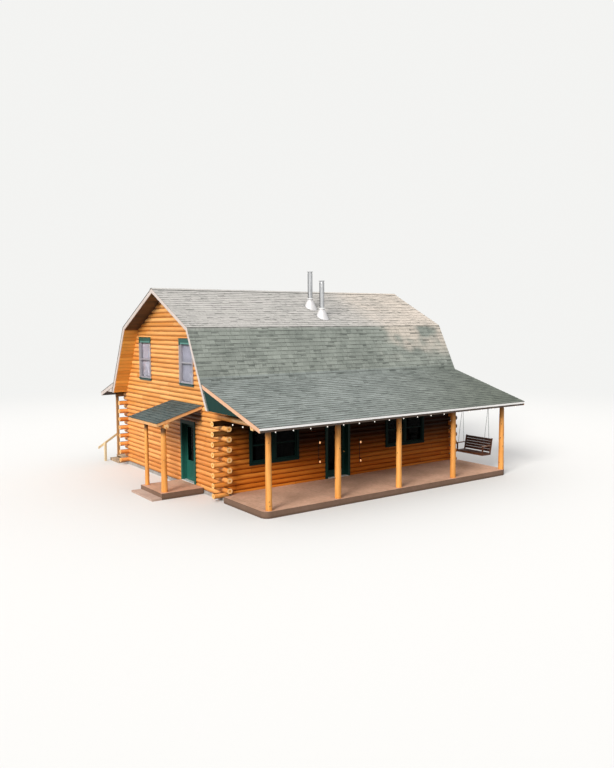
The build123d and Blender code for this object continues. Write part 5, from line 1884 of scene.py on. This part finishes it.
@dataclass
class Bulbs:
    """Teardrop bulbs and sockets of the light string, in the place of the plain bulbs."""

    effects: Effects
    spacing: float = 0.655
    eave_count: int = 18
    tie_count: int = 3
    eave_z: float = 2.8132
    tie_z: float = 2.7362
    inset: float = 0.022

    def build(self) -> None:
        """Hang a turned bulb and a socket at each place of the string."""
        low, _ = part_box("string_light_bulbs")
        xs = SHELL.right + 0.58 - self.spacing / 2 - np.arange(self.eave_count) * self.spacing
        ys = -SHELL.back - 0.3 - self.spacing / 4 - np.arange(self.tie_count) * self.spacing
        spots = [(x, low.y + self.inset, self.eave_z) for x in xs]
        spots += [(low.x + self.inset, y, self.tie_z) for y in ys]
        socket = np.array([[0.002, -0.002], [0.004, -0.004], [0.004, -0.026], [0.0105, -0.030],
                           [0.0105, -0.060], [0.009, -0.065], [0.002, -0.066]])
        share = np.linspace(0.0, 1.0, 11)
        radius = 0.0165 * np.sin(np.pi * share**0.75) ** 0.8 + 0.0012
        bulb = np.stack([radius, -0.061 - 0.056 * share], axis=-1)
        sockets, bulbs = Stock(), Stock()
        for spot in spots:
            sockets.put(lathe(socket, 14), spot)
            bulbs.put(lathe(bulb, 18), spot)
        black = Metal("socket black", (0.02, 0.025, 0.02), 0.5, 0.0).dress(self.effects)
        lit = Glow("string bulb glass", (1.0, 0.93, 0.84), 1.1).dress(self.effects)
        sockets.build("string_light_sockets", black, "cord_jacket", smooth=40.0)
        bulbs.build("string_light_globes", lit, "bulb_glass", ("string_light_bulbs",), smooth=60.0)


@dataclass
class Flues:
    """Sheet-metal flues: beads at the joints, storm collars and lidded caps."""

    effects: Effects
    x: float = 0.245
    radius: float = 0.0975
    sides: int = 48
    joints: Pair = (0.98, 0.56)
    places: tuple[Point, ...] = ((-2.165, 6.2606, 7.6956), (-1.365, 6.6602, 8.1002))

    def pipe(self, foot: float, top: float) -> np.ndarray:
        """Profile of the pipe: beads at the joints, a band under the cap and the cap's lid.

        Args:
            foot: Foot's height.
            top: Height of the lid's top.

        Returns:
            Points of (radius, z), from the foot up.
        """
        r = self.radius
        rows = [(0.004, foot), (r, foot)]
        for joint in (top - down for down in self.joints):
            rows += [(r, joint - 0.012), (r + 0.004, joint - 0.008),
                     (r + 0.004, joint + 0.008), (r, joint + 0.012)]
        cap = [(r, 0.125), (r + 0.005, 0.120), (r + 0.005, 0.100), (r - 0.004, 0.096),
               (0.086, 0.094), (0.086, 0.040), (0.119, 0.038), (0.124, 0.032),
               (0.124, 0.022), (0.100, 0.010), (0.050, 0.003), (0.004, 0.0005)]
        return np.array(rows + [(out, top - down) for out, down in cap])

    def build(self) -> None:
        """Build and dress both flues."""
        ring = np.array([[0.0985, 0.034], [0.138, -0.004], [0.140, -0.008], [0.136, -0.008],
                         [0.0985, 0.022]])
        pipes, collars = Stock(), Stock()
        for y, roof, top in self.places:
            pipes.put(lathe(self.pipe(roof + 0.052, top), self.sides), (self.x, y, 0.0))
            points, _ = lathe(ring + (0.0, roof + 0.312), self.sides)
            faces = [grid_quads(len(ring), self.sides, wrap_rows=True, wrap_cols=True)]
            collars.put((points, faces), (self.x, y, 0.0))
        # Flue steel with a painted dark reflection on its flanks.
        steel = Metal("flue steel", (0.82, 0.83, 0.85), 0.16, 1.0, 0.35, 0.9).dress(self.effects)
        pale = Metal("flue boot", (0.80, 0.80, 0.80), 0.55, 0.35).dress(self.effects)
        pipes.build("flue_sheet_pipes", steel, "flue_steel", ("flue_pipes",), smooth=30.0)
        collars.build("flue_storm_collars", pale, "flashing", smooth=40.0)


@dataclass
class Swing:
    """Link chains of the porch swing with their eyes, and the caps of its arms."""

    effects: Effects
    wire: float = 0.0032
    bend: float = 0.0085
    straight: float = 0.0095
    eye: float = 0.0165
    eye_wire: float = 0.0058
    hang: Pair = (5.41, 2.6799)
    feet: Pair = (5.164, 5.494)
    foot_z: float = 1.0605
    ys: Pair = (-6.305, -4.965)

    def link(self) -> Shape:
        """One link along Z: a round wire carried along two half circles joined by straights.

        Returns:
            Points and faces.
        """
        half = np.linspace(0, np.pi, 5)
        path = np.concatenate([
            np.stack([self.bend * np.cos(half), self.straight + self.bend * np.sin(half)], -1),
            np.stack([-self.bend * np.cos(half), -self.straight - self.bend * np.sin(half)], -1),
        ])
        ahead, behind = np.roll(path, -1, 0), np.roll(path, 1, 0)
        along = (ahead - behind) / np.linalg.norm(ahead - behind, axis=1, keepdims=True)
        out = np.stack([along[:, 1], -along[:, 0]], -1)
        turn = np.linspace(0, 2 * np.pi, 5, endpoint=False)
        side = self.wire * np.cos(turn)[None, :, None] * out[:, None, :]
        x, z = path[:, None, 0] + side[..., 0], path[:, None, 1] + side[..., 1]
        y = np.broadcast_to(self.wire * np.sin(turn), x.shape)
        faces = [grid_quads(10, 5, wrap_rows=True, wrap_cols=True)]
        return np.stack([x, y, z], -1).reshape(-1, 3), faces

    def chain(self, stock: Stock, top: np.ndarray, foot: np.ndarray) -> None:
        """Links from top to foot, every second one turned by a right angle.

        Args:
            stock: Piece that they go to.
            top: Upper end.
            foot: Lower end.
        """
        run = foot - top
        length = float(np.linalg.norm(run))
        down = run / length
        side = np.cross(down, (0.0, 1.0, 0.0))
        side /= np.linalg.norm(side)
        other = np.cross(down, side)
        pitch = 2 * (self.straight + self.bend) - 2 * self.wire
        count = int(length / pitch)
        points, faces = self.link()
        middles = top + (np.arange(count)[:, None] + 0.5) * down * length / count
        for first, (a, b) in enumerate(((side, other), (other, -side))):
            shape = points[:, :1] * a + points[:, 1:2] * b + points[:, 2:] * down
            stock.add(shape[None] + middles[first::2, None, :], faces)

    def ring(self) -> Shape:
        """Round wire bent into the eye that a chain hangs from, facing along Y.

        Returns:
            Points and faces.
        """
        turn = np.linspace(0, 2 * np.pi, 20, endpoint=False)
        wire = np.linspace(0, 2 * np.pi, 10, endpoint=False)
        reach = self.eye + self.eye_wire * np.cos(wire)
        y = np.broadcast_to(self.eye_wire * np.sin(wire), (20, 10))
        points = np.stack([reach * np.cos(turn)[:, None], y, reach * np.sin(turn)[:, None]], -1)
        return points.reshape(-1, 3), [grid_quads(20, 10, wrap_rows=True, wrap_cols=True)]

    def build(self) -> None:
        """Build the chains with their eyes, and the caps on the arms."""
        chains, arms = Stock(), Stock()
        x, z = self.hang
        for y in self.ys:
            chains.put(self.ring(), (x, y, z))
            top = np.array([x, y, z - 0.018])
            for foot in self.feet:
                self.chain(chains, top, np.array([foot, y, self.foot_z - 0.006]))
            arms.put(blocks((5.090, y - 0.038, 1.0595), (5.568, y + 0.038, 1.0680), 0.003))
        zinc = Metal("chain zinc", (0.17, 0.17, 0.175), 0.5).dress(self.effects)
        chains.build("swing_link_chains", zinc, "chain_steel", ("swing_chains",), 60.0, "swing")
        wood = SawnWood("swing arm wood", Along.X, (0.36, 0.21, 0.14), (0.72, 0.50, 0.38),
                        0.3, 0.001, knots=0.2)
        arms.build("swing_arm_caps", wood.dress(self.effects), "swing_wood", body="swing")


@dataclass
class DripEdge:
    """Bent metal drip edge along the porch eave."""

    effects: Effects
    reach: float = 0.58
    out: float = 3.2757
    top: float = 2.9040

    def build(self) -> None:
        """Carry a thin angle along X."""
        half = SHELL.right + self.reach
        section = np.array([[-0.0042, 0.0], [-0.0018, -0.058], [-0.008, -0.066], [-0.0068, -0.068],
                            [-0.0005, -0.060], [-0.0008, 0.0]]) + (-SHELL.back - self.out, self.top)
        stock = Stock()
        stock.put(carried(section, -half, half))
        white = Paint("drip edge white", (0.97, 0.96, 0.95), (0.88, 0.87, 0.86), 0.3, 0.1)
        stock.build("porch_drip_edge", white.dress(self.effects), "pale_trim")


@dataclass
class Dressing:
    """Finishes of the parts whose shape stays."""

    effects: Effects
    nodes: dict[str, bpy.types.Object]

    def give(self, finish: Finish, *names: str) -> None:
        """Put one finish on named parts.

        Args:
            finish: The finish.
            *names: The parts' nodes.
        """
        material = finish.dress(self.effects)
        for name in names:
            data = self.nodes[name].data
            data.materials.clear()
            data.materials.append(material)
            LOG.info("%s dressed with %s", name, material.name)

    def walls(self) -> None:
        """Dress the log walls and the header logs."""
        low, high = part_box("side_porch_roof")
        # Porch wall logs: a shaded copy of the log wood, with painted shade under the porch roof and
        # less gloss.
        self.give(LogWood("logs along the porch wall", Along.X, 4.165, porch_shade=0.98, coat=0.0),
                  "front_wall_left", "front_wall_right", "front_wall_top")
        self.give(LogWood("logs along the back wall", Along.X, 4.165), "back_wall")
        # Gable logs: painted shade under the side porch roof and painted sunlight on the tie log.
        self.give(LogWood("logs along the gables", Along.Y, 5.385, tie_from=-4.75,
                          hood=(low.y, high.y, high.z - 0.1)),
                  "left_wall_front", "left_wall_back", "left_wall_top", "right_wall",
                  "left_gable", "right_gable")
        # Paler than the posts: painted sunlight.
        self.give(PeeledWood("porch header log", Along.X, (0.84, 0.36, 0.09), (1.0, 0.58, 0.22),
                             (-6.930, 2.851)), "porch_header")
        self.give(PeeledWood("side header log", Along.Y, centre=(-6.905, 2.47), radius=0.085),
                  "side_porch_header")

    def boards(self) -> None:
        """Dress everything sawn: ceilings, floors, the rear deck and the swing's bench."""
        for name, along, dark, light, sizes, nodes in (
            # Ceiling boards darker than the roof boards: painted shade under the roofs.
            ("ceiling boards", Along.X, (0.032, 0.012, 0.005), (0.095, 0.038, 0.016), (),
             ("porch_roof", "rear_porch_roof", "roof_front_upper", "roof_back_upper")),
            ("roof boards", Along.X, (0.66, 0.27, 0.040), (0.95, 0.50, 0.105), (0.14, 0.006, 2),
             ("roof_front_lower", "roof_back_lower")),
            ("side ceiling boards", Along.Y, (0.22, 0.085, 0.025), (0.52, 0.24, 0.09),
             (0.14, 0.006, 0), ("side_porch_roof",)),
            ("floor boards", Along.X, (0.30, 0.15, 0.065), (0.60, 0.36, 0.18), (0.12, 0.003),
             ("ground_floor", "loft_floor")),
            ("deck boards", Along.X, (0.30, 0.20, 0.12), (0.62, 0.45, 0.30),
             (0.14, 0.008, 1, 0.5, 0.7), ("rear_deck", "rear_step")),
            ("rear frame wood", Along.Z, (0.42, 0.20, 0.07), (0.76, 0.45, 0.20),
             (0.6, 0.001, 0, 0.6), ("rear_porch_frame",)),
            ("handrail wood", Along.Z, (0.58, 0.42, 0.22), (0.90, 0.74, 0.48), (0.6, 0.001, 0, 0.3),
             ("rear_handrail",)),
            ("swing slats wood", Along.Y, (0.036, 0.010, 0.005), (0.115, 0.038, 0.018),
             (0.5, 0.001, 0, 0.3), ("swing_slats",)),
            ("swing frame wood", Along.X, (0.060, 0.018, 0.008), (0.19, 0.075, 0.034),
             (0.7, 0.001, 1, 0.3), ("swing_frame",)),
        ):
            self.give(SawnWood(name, along, dark, light, *sizes), *nodes)

    def painted(self) -> None:
        """Dress roof trim, doors and window frames."""
        for kind, name, colour, shadow, node in (
            (Fascia, "pale roof trim", (0.70, 0.62, 0.58), (0.48, 0.40, 0.36), "roof_trim"),
            (Paint, "porch rake salmon", (0.82, 0.50, 0.33), (0.58, 0.30, 0.16),
             "porch_rake_boards"),
            (Paint, "side fascia orange", (0.84, 0.47, 0.20), (0.60, 0.28, 0.10),
             "side_porch_fascia"),
        ):
            self.give(kind(name, colour, shadow, 0.5), node)
        # Very dark green: the panels' green darkened with painted shade of the rake.
        panel = Paint("end panel green", (0.008, 0.044, 0.037), (0.003, 0.018, 0.016), 0.5,
                      gloss=0.2)
        self.give(panel, "porch_end_panels")
        self.give(replace(DOOR_GREEN, name="trim green", rough=0.45),
                  "front_door", "side_door", "back_door", "front_door_frame", "side_door_frame")
        self.give(replace(WINDOW_GREEN, name="window frame green", colour=(0.012, 0.088, 0.073),
                          shadow=(0.005, 0.035, 0.030)), "ground_window_frames")
        self.give(LoftPaint("loft frame paint", (0.012, 0.110, 0.090), (0.006, 0.045, 0.038), 0.4),
                  "loft_window_frames")

    def build(self) -> None:
        """Dress every part."""
        self.walls()
        self.boards()
        self.painted()
        self.give(Glass("window glass"), "window_glass", "front_door_glass", "side_door_glass")
        self.give(Concrete("porch concrete", (0.71, 0.435, 0.30), (0.47, 0.272, 0.175), 2.7, 0.95),
                  "porch_slab", "side_porch_slab")
        self.give(Concrete("foundation concrete", (0.45, 0.42, 0.39), (0.27, 0.25, 0.23)),
                  "foundation_slab")
        self.give(Concrete("step stone", (0.56, 0.41, 0.33), (0.45, 0.31, 0.245)), "side_step")
        self.give(Metal("aged brass", (0.60, 0.42, 0.17), 0.3),
                  "front_door_fittings", "side_door_fittings", "door_hinge_pins")
        self.give(Flashing("flue boots pale", (0.74, 0.73, 0.74), 0.5, 0.4), "flue_boots")
        self.give(Metal("hanger zinc", (0.20, 0.20, 0.205), 0.5), "swing_hangers")
        self.give(Metal("cord jacket", (0.015, 0.022, 0.015), 0.6, 0.0), "string_light_cord")


@dataclass
class Studio:
    """Camera, lamps, floor and background."""

    eye: Point = (-17.414, -25.916, 5.998)
    yaw: float = 0.6187
    pitch: float = -0.0823
    roll: float = -0.0056
    lens: float = 34.549
    sensor: float = 36.0
    sun: Point = (-0.78, -0.40, 0.48)
    sun_energy: float = 3.2
    sun_spread: float = 22.0
    sun_colour: Colour = (1.0, 0.965, 0.92)
    background: Colour = (0.90, 0.90, 0.885)
    horizon: Colour = (0.14, 0.145, 0.14)
    zenith: Colour = (1.0, 1.0, 1.02)
    floor_seen: Colour = (0.74, 0.74, 0.725)
    floor_unseen: Colour = (0.26, 0.26, 0.25)
    fade: Pair = (14.0, 42.0)
    floor_z: float = -0.0015
    floor_rings: tuple[float, ...] = (0.5, 12.0, 30.0, 90.0, 400.0)
    floor_sides: int = 96

    def camera(self) -> None:
        """Camera at the photograph's viewing angle."""
        sin_y, cos_y = math.sin(self.yaw), math.cos(self.yaw)
        sin_p, cos_p = math.sin(self.pitch), math.cos(self.pitch)
        ahead = np.array([sin_y * cos_p, cos_y * cos_p, sin_p])
        right = np.array([cos_y, -sin_y, 0.0])
        up = np.cross(right, ahead)
        side = math.cos(self.roll) * right + math.sin(self.roll) * up
        top = -math.sin(self.roll) * right + math.cos(self.roll) * up
        data = bpy.data.cameras.new("camera")
        data.lens, data.sensor_width, data.clip_end = self.lens, self.sensor, 1000.0
        camera = add_object("camera", data)
        camera.matrix_world = turned_to(side, top, -ahead, self.eye)
        bpy.context.scene.camera = camera

    def seen(self, s: Shade) -> Socket:
        """One for rays from the camera and for those that glass and gloss send on.

        Args:
            s: Nodes of the world.

        Returns:
            The socket.
        """
        rays = s.node("ShaderNodeLightPath").outputs
        glossy = s.math("MAXIMUM", rays["Is Glossy Ray"], rays["Is Transmission Ray"])
        return s.math("MAXIMUM", rays["Is Camera Ray"], glossy)

    def world(self) -> None:
        """Soft dome, bright overhead and dim at the horizon, with a pale background."""
        world = bpy.data.worlds.new("studio")
        world.use_nodes = True
        bpy.context.scene.world = world
        s = Shade(world.node_tree)
        dome = s.find("BACKGROUND")
        z = s.split(s.node("ShaderNodeTexCoord").outputs["Generated"])[2]
        s.feed(dome.inputs["Color"], s.mix(s.ramp(z, -0.05, 0.75), self.horizon, self.zenith))
        s.feed(dome.inputs["Strength"], 1.0)
        pale = s.give("ShaderNodeBackground", {"Color": self.background})
        blend = s.blend(self.seen(s), dome.outputs[0], pale)
        s.feed(s.find("OUTPUT_WORLD").inputs["Surface"], blend)

    def floor_finish(self) -> Material:
        """Pale floor that fades into the background and sends little light up.

        Returns:
            The material.
        """
        material = bpy.data.materials.new("studio floor")
        material.use_nodes = True
        s = Shade(material.node_tree)
        shader = s.find("BSDF_PRINCIPLED")
        camera_ray = s.node("ShaderNodeLightPath").outputs["Is Camera Ray"]
        s.feed(shader.inputs["Base Color"], s.mix(camera_ray, self.floor_unseen, self.floor_seen))
        s.feed(shader.inputs["Roughness"], 0.9)
        glow = s.give("ShaderNodeEmission", {"Color": self.background})
        x, y, _ = s.split(s.place())
        away = s.math("SQRT", s.plus(s.math("POWER", x, 2.0), s.math("POWER", y, 2.0)))
        far = s.times(s.ramp(away, *self.fade), camera_ray)
        s.feed(s.find("OUTPUT_MATERIAL").inputs["Surface"], s.blend(far, shader.outputs[0], glow))
        return material

    def floor(self) -> None:
        """Lay the round floor: rings of points round the origin."""
        turn = np.linspace(0, 2 * np.pi, self.floor_sides, endpoint=False)
        rings = np.array(self.floor_rings)[:, None]
        points = np.broadcast_arrays(rings * np.cos(turn), rings * np.sin(turn), self.floor_z)
        mesh = bpy.data.meshes.new("studio_floor")
        faces = grid_quads(len(rings), self.floor_sides, wrap_cols=True).tolist()
        faces.append(list(range(self.floor_sides)))
        mesh.from_pydata(np.stack(points, -1).reshape(-1, 3).tolist(), [], faces)
        mesh.materials.append(self.floor_finish())
        add_object("studio_floor", mesh)

    def lamps(self) -> None:
        """One broad soft sun from the upper left of the porch side."""
        data = bpy.data.lights.new("soft_sun", "SUN")
        data.energy, data.color = self.sun_energy, self.sun_colour
        data.angle = math.radians(self.sun_spread)
        z = np.array(self.sun) / np.linalg.norm(self.sun)
        x = np.cross((0.0, 0.0, 1.0), z)
        x /= np.linalg.norm(x)
        add_object("soft_sun", data).matrix_world = turned_to(x, np.cross(z, x), z, (0.0, 0.0, 0.0))

    def build(self) -> None:
        """Set the studio up."""
        self.camera()
        self.world()
        self.floor()
        self.lamps()
        bpy.context.scene.view_settings.view_transform = "Standard"


def corners(bounds: object) -> list[list[float]]:
    """Plain numbers of a box's two corners."""
    return [[float(v) for v in corner] for corner in bounds]


def main() -> None:
    """Load the frame, then build the studio, the finishes and each sub-assembly in order."""
    logging.basicConfig(level=logging.INFO, format="%(name)s %(message)s")
    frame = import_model()
    effects = Effects()
    Studio().build()
    Dressing(effects, frame["nodes"]).build()
    for part in (Shingles, Posts, Windows, Doors, Lanterns, Bulbs, Flues, Swing, DripEdge):
        part(effects).build()
        LOG.info("%s finished", part.__name__)
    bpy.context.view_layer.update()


if __name__ == "__main__":
    main()
